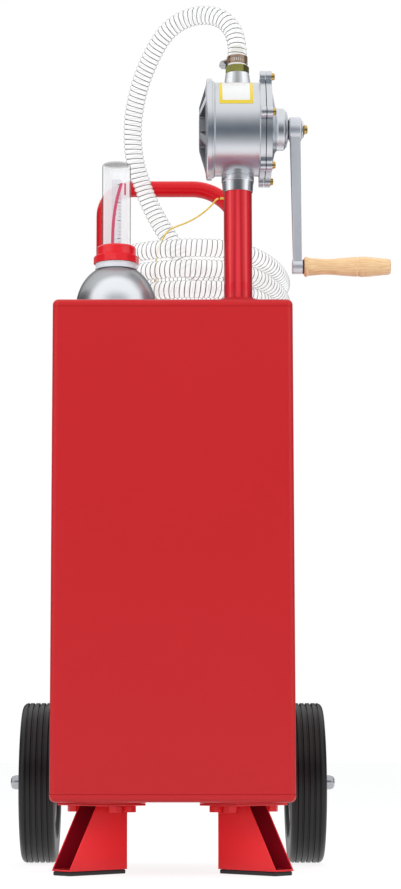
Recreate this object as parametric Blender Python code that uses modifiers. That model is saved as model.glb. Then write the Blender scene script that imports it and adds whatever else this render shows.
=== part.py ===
"""Upright fuel caddy: a steel tank on two wheels and two feet, with a rotary hand pump.

Blender 4.5, metres, +Z up. Each object in the collection is one piece of the product.
In the caddy's own layout X runs across, Y runs from the tank's front face to its back,
and Z is height over the floor. The empty caddy_frame carries that layout and puts the
middle of the caddy's footprint at the world origin.
"""
import bpy
import bmesh
from math import cos, pi, radians, sin, sqrt, tau
from mathutils import Matrix, Vector

for old_object in list(bpy.data.objects):
    bpy.data.objects.remove(old_object, do_unlink=True)

mm = 0.001

# Fits used all over the caddy
seat_gap = 0.3 * mm
overrun = 5 * mm
weld_distance = 0.01 * mm
smooth_angle = radians(32)

# Tank
tank_width = 350 * mm
tank_depth = 430 * mm
tank_height = 725 * mm
tank_clearance = 105 * mm
tank_sheet = 1.6 * mm
tank_corner_radius = 9 * mm
pan_edge_radius = 8 * mm
pan_rim_height = 11 * mm
tank_top = tank_clearance + tank_height

# Wheels and axle
wheel_radius = 127 * mm
wheel_offset = 37.5 * mm
wheel_middle = tank_width / 2 + wheel_offset
tyre_half_width = 28 * mm
tyre_bead_half_width = 22 * mm
tyre_bead_height = 9 * mm
tyre_shoulder_radius = 12 * mm
tread_groove_count = 4
tread_groove_pitch = 11.2 * mm
tread_groove_width = 2.4 * mm
tread_groove_depth = 3.5 * mm
rim_radius = 74 * mm
rim_sheet = 2 * mm
rim_lip_height = 6 * mm
hub_radius = 15 * mm
hub_inner_reach = 38.5 * mm
hub_outer_reach = 29 * mm
hub_disc_offset = 9 * mm
axle_radius = 8 * mm
axle_standoff = 16 * mm
axle_running_gap = 0.3 * mm
axle_cap_radius = 16 * mm
axle_cap_length = 19 * mm
axle_cap_flange = 2.5 * mm
axle_cap_wall = 4 * mm
axle_y = tank_depth + axle_standoff

# Brackets that hold the axle on the back wall
axle_bracket_thickness = 5 * mm
axle_bracket_radius = 17 * mm
axle_bracket_height = 75 * mm

# Front feet: folded channels under the front corners, turned to face outwards
foot_inset = 95 * mm
foot_x = tank_width / 2 - foot_inset
foot_y = 138 * mm
foot_turn = radians(45)
foot_channel_width = 39 * mm
foot_sheet = 2.5 * mm
foot_top_reach = 60 * mm
foot_sole_reach = 114 * mm
foot_flange_width = 112 * mm
foot_flange_length = 72 * mm
foot_flange_offset = 34 * mm
foot_plate_thickness = 3 * mm
foot_bolt_spread = 43 * mm
foot_bolt_spacing = 29 * mm
foot_bolt_head_radius = 10.5 * mm
foot_bolt_head_height = 9 * mm
foot_bolt_shank_radius = 5 * mm
foot_pad_height = 6 * mm
foot_pad_margin = 2 * mm

# Riser post and what it stands in
port_inset = 77 * mm
port_x = tank_width / 2 - port_inset
port_y = 90 * mm
riser_radius = 21.2 * mm
riser_wall = 2.6 * mm
riser_collar_radius = 31 * mm
riser_collar_height = 15 * mm
riser_collar_chamfer = 3 * mm
suction_radius = 13.5 * mm
suction_wall = 1.5 * mm
suction_head_height = 18 * mm
suction_floor_gap = 22 * mm

# Inlet coupling between post and pump
riser_exposed_height = 180 * mm
coupling_bottom = tank_top + riser_exposed_height
coupling_height = 23.2 * mm
coupling_top_radius = 24.4 * mm
coupling_bottom_radius = 22.6 * mm
coupling_socket_depth = 14 * mm

# Pump, its axis along X
pump_port_offset = 47 * mm
pump_cover_start = port_x - pump_port_offset
end_flange_thickness = 8 * mm
end_flange_radius = 76.5 * mm
end_flange_edge = 1.5 * mm
end_dome_height = 11 * mm
end_dome_foot_radius = 59 * mm
end_dome_top_radius = 29 * mm
end_pocket_count = 6
end_pocket_inner = 27 * mm
end_pocket_outer = 63 * mm
end_pocket_width = 22 * mm
end_pocket_outer_width = 54 * mm
end_pocket_floor = 2.2 * mm
bearing_pocket_depth = 10 * mm
body_start = pump_cover_start + end_flange_thickness + seat_gap
body_length = 79 * mm
body_radius = 70.5 * mm
inlet_boss_height = 4 * mm
pump_z = coupling_bottom + coupling_height + seat_gap + inlet_boss_height + body_radius
body_lip_radius = 73 * mm
body_lip_length = 2.4 * mm
body_flange_length = 7.4 * mm
body_flange_radius = 75 * mm
bore_radius = 58.6 * mm
bore_offset = 8.8 * mm
rotor_radius = 49 * mm
rotor_end_gap = 0.8 * mm
vane_thickness = 5 * mm
vane_root = 20 * mm
vane_running_gap = 0.4 * mm
ear_count = 6
ear_radius = 8.8 * mm
ear_pitch_radius = 80 * mm
ear_first_angle = radians(26.5)
gasket_thickness = 0.6 * mm
gasket_radius = 74 * mm
gasket_bore = 68.5 * mm
cover_thickness = 8.6 * mm
cover_dome_foot_radius = 60 * mm
cover_dome_top_radius = 35 * mm
cover_dome_height = 6 * mm
cover_boss_radius = 31.6 * mm
cover_boss_length = 16 * mm
cover_boss_edge = 3 * mm
gland_length = 4.6 * mm
gasket_start = body_start + body_length + seat_gap
cover_start = gasket_start + gasket_thickness + seat_gap
gland_start = cover_start + cover_thickness + cover_dome_height + cover_boss_length + seat_gap
gland_base_radius = 27 * mm
gland_tip_radius = 13.5 * mm
shaft_radius = 7.5 * mm
shaft_gap = 0.3 * mm
outlet_boss_height = 16.4 * mm
outlet_boss_top = pump_z + body_radius + outlet_boss_height
outlet_boss_top_radius = 17.7 * mm
outlet_boss_foot_radius = 20 * mm
outlet_boss_sink = 24 * mm
inlet_boss_radius = 24 * mm
port_hole_radius = 12.8 * mm
inlet_hole_radius = 16.5 * mm

# Outlet fitting, clamp and hose
hex_corner_radius = 17.8 * mm
hex_height = 11 * mm
fitting_spigot_radius = 12.4 * mm
fitting_spigot_length = 12 * mm
barb_radius = 9.9 * mm
barb_length = 32 * mm
barb_bore = 7.5 * mm
clamp_height = 12 * mm
clamp_wall = 1 * mm
clamp_rise = 3 * mm
clamp_housing_width = 15 * mm
clamp_housing_depth = 9 * mm
clamp_housing_turn = radians(215)
clamp_screw_radius = 3.2 * mm
clamp_screw_head_radius = 5.5 * mm
clamp_screw_head_length = 5 * mm
hose_radius = 14.5 * mm
hose_valley_radius = 12.7 * mm
hose_bore_radius = 11.2 * mm
hose_rib_pitch = 7.6 * mm
hose_end_length = 29 * mm

# Route of the hose's free stretch, from the outlet to where it drops behind the coil
hose_route = [
    (0.098, 0.090, 1.230),
    (0.0965, 0.0905, 1.245),
    (0.091, 0.093, 1.2645),
    (0.076, 0.098, 1.283),
    (0.053, 0.106, 1.2925),
    (0.027, 0.116, 1.2925),
    (0.004, 0.126, 1.284),
    (-0.016, 0.137, 1.267),
    (-0.034, 0.151, 1.239),
    (-0.050, 0.166, 1.202),
    (-0.0600, 0.181, 1.161),
    (-0.0622, 0.191, 1.122),
    (-0.0580, 0.199, 1.085),
    (-0.0480, 0.206, 1.053),
    (-0.0350, 0.2095, 1.0205),
    (-0.0195, 0.2085, 0.990),
    (-0.0010, 0.2045, 0.959),
]

# Hose coil that lies on the tank top round the space behind the post
coil_x = 34.7 * mm
coil_y = 297.5 * mm
coil_radius = 137.5 * mm
coil_level_pitch = 32.2 * mm
coil_levels = 4
coil_points_per_turn = 24
coil_descent_start = radians(285)
coil_descent_end = radians(375)
coil_end_angle = radians(1350)
coil_tail_length = 45 * mm
lead_radius = 110 * mm
lead_turn = radians(80)
lead_start = radians(-70)
lead_heights = (39.6 * mm, 40.2 * mm, 26 * mm, 10.8 * mm, 3.4 * mm, 0.8 * mm, 0, 0)
lead_slope = 15 * mm

# Spout on the hose's far end
spout_radius = 11 * mm
spout_wall = 1.5 * mm
spout_length = 88 * mm
spout_collar_radius = 14.5 * mm
spout_collar_length = 14 * mm

# Crank
crank_length = 211.5 * mm
crank_clearance = 0.4 * mm
crank_hub_start = gland_start + gland_length + crank_clearance
crank_hub_length = 18.9 * mm
crank_hub_radius = 18.7 * mm
crank_arm_top_thickness = 16 * mm
crank_arm_end_thickness = 13.4 * mm
crank_arm_top_width = 24 * mm
crank_arm_end_width = 18 * mm
crank_arm_edge = 2 * mm
crank_end_offset = 3.6 * mm
crank_end_start = crank_hub_start + crank_end_offset
crank_end_length = 16.2 * mm
crank_end_radius = 11.6 * mm
crank_washer_thickness = 4.6 * mm
crank_washer_radius = 14 * mm
crank_screw_head_radius = 6.8 * mm
crank_screw_head_length = 4.4 * mm
crank_screw_shank_radius = 2.8 * mm
crank_screw_shank_length = 12 * mm
grip_length = 131 * mm
grip_bore = 4.4 * mm
grip_pin_radius = 4 * mm
grip_pin_head_radius = 6.5 * mm
grip_pin_head_length = 2.5 * mm
grip_profile = [
    (0 * mm, 13.6 * mm),
    (4.5 * mm, 15.4 * mm),
    (7 * mm, 13.9 * mm),
    (16 * mm, 12.8 * mm),
    (34 * mm, 11.7 * mm),
    (50 * mm, 12.6 * mm),
    (70 * mm, 14.2 * mm),
    (80 * mm, 14.8 * mm),
    (82 * mm, 14.2 * mm),
    (88 * mm, 15.3 * mm),
    (102 * mm, 14.5 * mm),
    (120 * mm, 12.5 * mm),
    (128 * mm, 12.1 * mm),
    (131 * mm, 9.4 * mm),
]

# Level gauge
gauge_inset = 90.7 * mm
gauge_x = gauge_inset - tank_width / 2
gauge_y = 78 * mm
dome_radius = 60 * mm
dome_sheet = 2 * mm
dome_opening = 24 * mm
neck_radius = 28.3 * mm
neck_height = 14 * mm
neck_wall = 3.4 * mm
neck_spigot_length = 12 * mm
nut_flange_radius = 33.8 * mm
nut_flange_height = 12 * mm
nut_radius = 29.4 * mm
nut_height = 26.4 * mm
nut_facets = 12
gauge_tube_radius = 21.4 * mm
gauge_tube_wall = 2 * mm
gauge_tube_height = 156.3 * mm
gauge_tube_flange_radius = 24.5 * mm
gauge_tube_flange_height = 4 * mm
gauge_base_radius = 18.5 * mm
gauge_base_height = 3 * mm
scale_width = 15 * mm
scale_thickness = 0.8 * mm
scale_height = 128 * mm
scale_setback = 5 * mm
stem_width = 10 * mm
stem_thickness = 3 * mm
stem_drop = 430 * mm
stem_offset = 8 * mm
pointer_thickness = 1.2 * mm
pointer_rise = 100 * mm
pointer_height = 90.5 * mm
pointer_width = 5.4 * mm
pointer_lean = 12 * mm
pointer_offset = -6 * mm
pointer_rod_radius = 1.3 * mm
pointer_rod_drop = 380 * mm
float_pin_radius = 2.5 * mm
float_pin_length = 9 * mm
float_pin_head_radius = 4.5 * mm
float_pin_head_length = 2 * mm
float_eye_radius = 6.5 * mm
float_eye_width = 6 * mm
float_wall_gap = 27 * mm
float_arm_radius = 2 * mm
float_ball_radius = 25 * mm
float_arm_length = tank_depth - gauge_y - float_ball_radius - float_wall_gap
float_rest_angle = radians(-6)

# Filler at the back left of the tank top
filler_side_inset = 40 * mm
filler_back_inset = 45 * mm
filler_x = filler_side_inset - tank_width / 2
filler_y = tank_depth - filler_back_inset
filler_radius = 25 * mm
filler_bore = 20.5 * mm
filler_height = 20 * mm
filler_seam_ridge = 1.2 * mm
filler_cap_radius = 29 * mm
filler_cap_lobe = 1 * mm
filler_cap_lobes = 12
filler_cap_height = 24 * mm
filler_cap_edge = 1.6 * mm
filler_cap_top = 3.5 * mm
cap_seal_radius = 24.4 * mm
cap_seal_thickness = 3 * mm

# Push handle on the back wall
handle_radius = 13.4 * mm
handle_wall = 1.6 * mm
handle_inset = 60.7 * mm
handle_x = tank_width / 2 - handle_inset
handle_standoff = 35.5 * mm
handle_rise = 281 * mm
handle_drop = 330 * mm
handle_top = tank_top + handle_rise
handle_foot = tank_top - handle_drop
handle_bend_radius = 46 * mm
handle_bend_steps = 7
saddle_sheet = 2.5 * mm
saddle_height = 28 * mm
saddle_flange = 16 * mm
saddle_low_drop = 270 * mm
saddle_high_drop = 70 * mm
saddle_heights = (tank_top - saddle_low_drop, tank_top - saddle_high_drop)
saddle_screw_radius = 5.5 * mm
saddle_screw_height = 3.2 * mm

# Earth wire from the post to the tank top
wire_radius = 1.1 * mm
earth_lug_length = 5.6 * mm
earth_lug_drop = 8.5 * mm
wire_lug_x = port_x - riser_radius - earth_lug_length
wire_lug_y = port_y
wire_lug_z = coupling_bottom - earth_lug_drop
earth_stud_x = -24 * mm
earth_stud_y = 212 * mm
earth_stud_radius = 4.5 * mm
earth_stud_height = 7 * mm
wire_spacing = 8.5 * mm
earth_lug_radius = 4 * mm
wire_route = [
    (0.0690, 0.0900, 1.0015),
    (0.0660, 0.0915, 1.0005),
    (0.0600, 0.1000, 0.9950),
    (0.0500, 0.1120, 0.9880),
    (0.0360, 0.1290, 0.9815),
    (0.0210, 0.1440, 0.9770),
    (0.0070, 0.1590, 0.9750),
    (-0.0050, 0.1715, 0.9720),
    (-0.0130, 0.1800, 0.9640),
    (-0.0195, 0.1872, 0.9530),
    (-0.0245, 0.1945, 0.9400),
    (-0.0265, 0.1995, 0.9200),
    (-0.0262, 0.2040, 0.8950),
    (-0.0248, 0.2080, 0.8700),
    (-0.0240, 0.2110, 0.8500),
    (-0.0240, 0.2120, 0.8400),
]

# Faceting of the round pieces
sides_small = 8
sides_medium = 16
sides_large = 24
sides_wheel = 24
sides_dome = 20

# Extent of the caddy, and the frame that centres it
caddy_left = -(wheel_middle + hub_outer_reach + seat_gap + axle_cap_length)
caddy_right = crank_end_start + crank_end_length + seat_gap + grip_length
caddy_back = axle_y + wheel_radius

along_x = (0, pi / 2, 0)
facing_x = (pi / 2, 0, pi / 2)

parts = bpy.data.collections.new("fuel_caddy")
cutters = bpy.data.collections.new("cutters")
bpy.context.scene.collection.children.link(parts)
bpy.context.scene.collection.children.link(cutters)


def carrier(name, location, parent=None):
    """An empty that carries pieces and marks a joint's place."""
    empty = bpy.data.objects.new(name, None)
    empty.location = location
    empty.parent = parent
    parts.objects.link(empty)
    return empty


def finish(colour, roughness, metallic, name):
    """A plain surface for one piece."""
    material = bpy.data.materials.new(name)
    material.use_nodes = True
    shader = material.node_tree.nodes["Principled BSDF"]
    shader.inputs["Base Color"].default_value = (*colour, 1)
    shader.inputs["Roughness"].default_value = roughness
    shader.inputs["Metallic"].default_value = metallic
    return material


RED = ((0.57, 0.03, 0.035), 0.3, 0)
SILVER = ((0.62, 0.64, 0.67), 0.35, 0.9)
CHROME = ((0.8, 0.8, 0.82), 0.08, 1)
BRASS = ((0.75, 0.55, 0.25), 0.3, 1)
ZINC = ((0.6, 0.58, 0.38), 0.35, 1)
STEEL = ((0.5, 0.5, 0.52), 0.3, 1)
RUBBER = ((0.02, 0.02, 0.022), 0.7, 0)
WOOD = ((0.8, 0.6, 0.38), 0.5, 0)
CLEAR = ((0.86, 0.88, 0.88), 0.15, 0)
PALE = ((0.8, 0.82, 0.86), 0.35, 0)
NUT_RED = ((0.8, 0.02, 0.03), 0.35, 0)
YELLOW = ((0.85, 0.65, 0.03), 0.45, 0)
BLACK = ((0.03, 0.03, 0.03), 0.5, 0)


def place(name, mesh, parent, location, look, rotation=(0, 0, 0)):
    """One piece of the product, shaded smooth up to its edges."""
    mesh.name = name
    piece = bpy.data.objects.new(name, mesh)
    parts.objects.link(piece)
    piece.parent = parent
    piece.location = location
    piece.rotation_euler = rotation
    mesh.materials.clear()
    mesh.materials.append(finish(*look, name))
    mesh.shade_smooth()
    mesh.set_sharp_from_angle(angle=smooth_angle)
    return piece


def tool(name, mesh, parent, location, rotation=(0, 0, 0)):
    """A hidden solid that cuts or joins a piece."""
    cutter = bpy.data.objects.new(name, mesh)
    cutters.objects.link(cutter)
    cutter.parent = parent
    cutter.location = location
    cutter.rotation_euler = rotation
    cutter.hide_render = True
    cutter.display_type = "WIRE"
    return cutter


def combine(piece, cutter, operation):
    """Cuts the tool out of the piece, or joins it on."""
    step = piece.modifiers.new(cutter.name, "BOOLEAN")
    step.operation = operation
    step.solver = "EXACT"
    step.object = cutter


def cut(piece, cutter):
    combine(piece, cutter, "DIFFERENCE")


def join(piece, cutter):
    combine(piece, cutter, "UNION")


def mesh_from(shape, name):
    """The mesh of a bmesh, with its faces pointing outwards."""
    bmesh.ops.remove_doubles(shape, verts=shape.verts, dist=weld_distance)
    bmesh.ops.recalc_face_normals(shape, faces=shape.faces)
    mesh = bpy.data.meshes.new(name)
    shape.to_mesh(mesh)
    shape.free()
    return mesh


def cylinder(name, radius, length, sides, top_radius=None):
    """A cylinder or cone that stands on z = 0."""
    shape = bmesh.new()
    end_radius = radius if top_radius is None else top_radius
    lift = Matrix.Translation((0, 0, length / 2))
    bmesh.ops.create_cone(shape, cap_ends=True, segments=sides, radius1=radius,
                          radius2=end_radius, depth=length, matrix=lift)
    return mesh_from(shape, name)


def block(name, size, centre=(0, 0, 0)):
    """A box of the given size round a centre."""
    shape = bmesh.new()
    bmesh.ops.create_cube(shape, size=1)
    bmesh.ops.scale(shape, verts=shape.verts, vec=size)
    bmesh.ops.translate(shape, verts=shape.verts, vec=centre)
    return mesh_from(shape, name)


def turned(name, profile, sides):
    """A solid of revolution about Z from (radius, height) points round its section."""
    points = list(profile)
    area = 0
    for (r0, z0), (r1, z1) in zip(points, points[1:] + points[:1]):
        area += r0 * z1 - r1 * z0
    if area > 0:
        points.reverse()
    edges = []
    for index in range(len(points)):
        following = (index + 1) % len(points)
        if points[index][0] > 0 or points[following][0] > 0:
            edges.append((index, following))
    profile_mesh = bpy.data.meshes.new(name)
    profile_mesh.from_pydata([(r, 0, z) for r, z in points], edges, [])
    holder = bpy.data.objects.new(name, profile_mesh)
    bpy.context.scene.collection.objects.link(holder)
    turn = holder.modifiers.new("turn", "SCREW")
    turn.axis = "Z"
    turn.angle = tau
    turn.steps = sides
    turn.render_steps = sides
    turn.use_merge_vertices = True
    turn.merge_threshold = weld_distance
    return evaluated_mesh(name, holder, profile_mesh)


def evaluated_mesh(name, holder, source):
    """The closed mesh that a helper object evaluates to; the helper is removed."""
    graph = bpy.context.evaluated_depsgraph_get()
    mesh = bpy.data.meshes.new_from_object(holder.evaluated_get(graph))
    bpy.data.objects.remove(holder, do_unlink=True)
    if isinstance(source, bpy.types.Curve):
        bpy.data.curves.remove(source)
    else:
        bpy.data.meshes.remove(source)
    shape = bmesh.new()
    shape.from_mesh(mesh)
    bpy.data.meshes.remove(mesh)
    return mesh_from(shape, name)


def curve_mesh(name, curve):
    """A curve as a closed mesh with welded caps."""
    holder = bpy.data.objects.new(name, curve)
    bpy.context.scene.collection.objects.link(holder)
    return evaluated_mesh(name, holder, curve)


def plate(name, outline, thickness):
    """A flat plate from z = 0 up, with the given outline."""
    curve = bpy.data.curves.new(name, "CURVE")
    curve.dimensions = "2D"
    curve.fill_mode = "BOTH"
    curve.extrude = thickness / 2
    spline = curve.splines.new("POLY")
    spline.points.add(len(outline) - 1)
    for point, (x, y) in zip(spline.points, outline):
        point.co = (x, y, 0, 1)
    spline.use_cyclic_u = True
    mesh = curve_mesh(name, curve)
    mesh.transform(Matrix.Translation((0, 0, thickness / 2)))
    return mesh


def tube(name, path, radius, resolution, radii=None):
    """A round bar along a path; radii can vary from point to point."""
    curve = bpy.data.curves.new(name, "CURVE")
    curve.dimensions = "3D"
    curve.bevel_depth = radius
    curve.bevel_resolution = resolution
    curve.use_fill_caps = True
    spline = curve.splines.new("POLY")
    spline.points.add(len(path) - 1)
    for index, point in enumerate(path):
        spline.points[index].co = (*point, 1)
        if radii:
            spline.points[index].radius = radii[index] / radius
    return curve_mesh(name, curve)


def arc(centre_x, centre_y, radius, start, end, steps):
    """Points along an arc, both ends included."""
    points = []
    for step in range(steps + 1):
        angle = start + (end - start) * step / steps
        points.append((centre_x + radius * cos(angle), centre_y + radius * sin(angle)))
    return points


def smooth_path(route, spacing):
    """Evenly spaced points on a smooth curve through the route's points."""
    knots = [Vector(point) for point in route]
    knots = [2 * knots[0] - knots[1]] + knots + [2 * knots[-1] - knots[-2]]
    fine = []
    samples = 24
    for a, b, c, d in zip(knots, knots[1:], knots[2:], knots[3:]):
        for sample in range(samples):
            t = sample / samples
            fine.append(0.5 * ((2 * b) + (c - a) * t + (2 * a - 5 * b + 4 * c - d) * t ** 2
                               + (3 * b - a - 3 * c + d) * t ** 3))
    fine.append(knots[-2])
    lengths = [0]
    for first, second in zip(fine, fine[1:]):
        lengths.append(lengths[-1] + (second - first).length)
    count = max(2, round(lengths[-1] / spacing))
    path = []
    index = 0
    for step in range(count + 1):
        wanted = lengths[-1] * step / count
        while index < len(fine) - 2 and lengths[index + 1] < wanted:
            index += 1
        span = lengths[index + 1] - lengths[index]
        share = (wanted - lengths[index]) / span
        path.append(fine[index].lerp(fine[index + 1], min(share, 1)))
    return path


def path_length(path):
    return sum((second - first).length for first, second in zip(path, path[1:]))


caddy_frame = carrier("caddy_frame", (-(caddy_left + caddy_right) / 2, -caddy_back / 2, 0))


def rounded_box_shell(name, height, round_top):
    """Thin wall of the tank's plan shape, open below, and above unless round_top."""
    shape = bmesh.new()
    bmesh.ops.create_cube(shape, size=1)
    bmesh.ops.scale(shape, verts=shape.verts, vec=(tank_width, tank_depth, height))
    upright = [e for e in shape.edges if abs(e.verts[0].co.z - e.verts[1].co.z) > height / 2]
    bmesh.ops.bevel(shape, geom=upright, offset=tank_corner_radius, segments=3, profile=0.5,
                    affect="EDGES")
    upper = [f for f in shape.faces if f.normal.z > 0.5]
    lower = [f for f in shape.faces if f.normal.z < -0.5]
    if round_top:
        rim = list({edge for face in upper for edge in face.edges})
        bmesh.ops.delete(shape, geom=lower, context="FACES_ONLY")
        bmesh.ops.bevel(shape, geom=rim, offset=pan_edge_radius, segments=2, profile=0.5,
                        affect="EDGES")
    else:
        bmesh.ops.delete(shape, geom=upper + lower, context="FACES_ONLY")
    return mesh_from(shape, name)


def sheet_wall(piece):
    wall = piece.modifiers.new("sheet", "SOLIDIFY")
    wall.thickness = tank_sheet
    wall.offset = -1
    wall.use_even_offset = True


def make_tank():
    pan_middle = pan_rim_height / 2
    wrapper_height = tank_height - 2 * pan_rim_height - 2 * seat_gap
    middle = (0, tank_depth / 2, tank_clearance + tank_height / 2)
    wrapper = place("tank_wrapper", rounded_box_shell("tank_wrapper", wrapper_height, False),
                    caddy_frame, middle, RED)
    sheet_wall(wrapper)
    top = place("tank_top_pan", rounded_box_shell("tank_top_pan", pan_rim_height, True),
                caddy_frame, (0, tank_depth / 2, tank_top - pan_middle), RED)
    sheet_wall(top)
    holes = (("riser_hole", port_x, port_y, riser_radius + seat_gap),
             ("gauge_hole", gauge_x, gauge_y, dome_opening),
             ("filler_hole", filler_x, filler_y, filler_bore))
    for name, x, y, radius in holes:
        drill = cylinder(name, radius, 2 * overrun + tank_sheet, sides_medium)
        cut(top, tool(name, drill, caddy_frame, (x, y, tank_top - tank_sheet - overrun)))
    bottom = place("tank_bottom_pan", rounded_box_shell("tank_bottom_pan", pan_rim_height, True),
                   caddy_frame, (0, tank_depth / 2, tank_clearance + pan_middle), RED,
                   rotation=(pi, 0, 0))
    sheet_wall(bottom)
    return top


def make_filler():
    deck = tank_top + seat_gap
    ridge = filler_radius + filler_seam_ridge
    neck = [(filler_bore, 0), (ridge, 0), (ridge, filler_seam_ridge), (filler_radius, 2 * filler_seam_ridge),
            (filler_radius, filler_height), (filler_bore, filler_height)]
    place("filler_neck", turned("filler_neck", neck, sides_medium), caddy_frame,
          (filler_x, filler_y, deck), RED)
    seal_z = deck + filler_height + seat_gap
    seal = [(filler_bore, 0), (cap_seal_radius, 0), (cap_seal_radius, cap_seal_thickness),
            (filler_bore, cap_seal_thickness)]
    place("cap_gasket", turned("cap_gasket", seal, sides_medium), caddy_frame,
          (filler_x, filler_y, seal_z), BLACK)
    ceiling = seal_z + cap_seal_thickness + seat_gap
    cap_foot = ceiling + filler_cap_top - filler_cap_height
    outline = []
    steps = filler_cap_lobes * 4
    for step in range(steps):
        angle = tau * step / steps
        reach = filler_cap_radius + filler_cap_lobe * cos(filler_cap_lobes * angle)
        outline.append((reach * cos(angle), reach * sin(angle)))
    cap = place("filler_cap", plate("filler_cap", outline, filler_cap_height), caddy_frame,
                (filler_x, filler_y, cap_foot), BLACK)
    room = filler_radius + filler_seam_ridge + seat_gap
    hollow = cylinder("cap_hollow", room, ceiling - cap_foot + overrun, sides_large)
    cut(cap, tool("cap_hollow", hollow, caddy_frame, (filler_x, filler_y, cap_foot - overrun)))


def make_riser():
    bore = riser_radius + seat_gap
    collar = [(bore, 0), (riser_collar_radius, 0),
              (riser_collar_radius, riser_collar_height - riser_collar_chamfer),
              (riser_collar_radius - riser_collar_chamfer, riser_collar_height),
              (bore, riser_collar_height)]
    place("riser_collar", turned("riser_collar", collar, sides_medium), caddy_frame,
          (port_x, port_y, tank_top + seat_gap), RED)
    foot = tank_top - tank_sheet - seat_gap
    length = coupling_bottom + coupling_socket_depth - seat_gap - foot
    inner = riser_radius - riser_wall
    pipe = [(inner, 0), (riser_radius, 0), (riser_radius, length), (inner, length)]
    riser = place("riser_pipe", turned("riser_pipe", pipe, sides_medium), caddy_frame,
                  (port_x, port_y, foot), RED)

    suction_foot = tank_clearance + tank_sheet + suction_floor_gap
    head = foot + suction_head_height - suction_foot
    neck = head - suction_head_height
    bore = suction_radius - suction_wall
    plug = inner - seat_gap
    dip = [(bore, 0), (suction_radius, 0), (suction_radius, neck), (plug, neck), (plug, head), (bore, head)]
    place("suction_tube", turned("suction_tube", dip, sides_medium), caddy_frame,
          (port_x, port_y, suction_foot), STEEL)
    socket = riser_radius + seat_gap
    sleeve = [(socket, 0), (coupling_bottom_radius, 0), (coupling_top_radius, coupling_height),
              (inlet_hole_radius, coupling_height), (inlet_hole_radius, coupling_socket_depth),
              (socket, coupling_socket_depth)]
    place("inlet_coupling", turned("inlet_coupling", sleeve, sides_large), caddy_frame,
          (port_x, port_y, coupling_bottom), SILVER)
    return riser


def eared_outline(plate_radius):
    """Round plate outline with the screw ears; in plate axes x is back, y is up."""
    outline = []
    half_ear = ear_radius / ear_pitch_radius
    offset_shares = [-1, -0.75, -0.3, 0.3, 0.75, 1]
    for ear in range(ear_count):
        middle = pi / 2 + ear_first_angle + tau * ear / ear_count
        for share in offset_shares:
            turn = share * half_ear * 0.999
            chord = ear_pitch_radius * sin(turn)
            reach = ear_pitch_radius * cos(turn) + sqrt(max(ear_radius ** 2 - chord ** 2, 0))
            reach = max(reach, plate_radius)
            outline.append((reach * cos(middle + turn), reach * sin(middle + turn)))
        gap_start = middle + half_ear * 1.1
        gap_end = middle + tau / ear_count - half_ear * 1.1
        outline += arc(0, 0, plate_radius, gap_start, gap_end, 3)
    return outline


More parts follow.
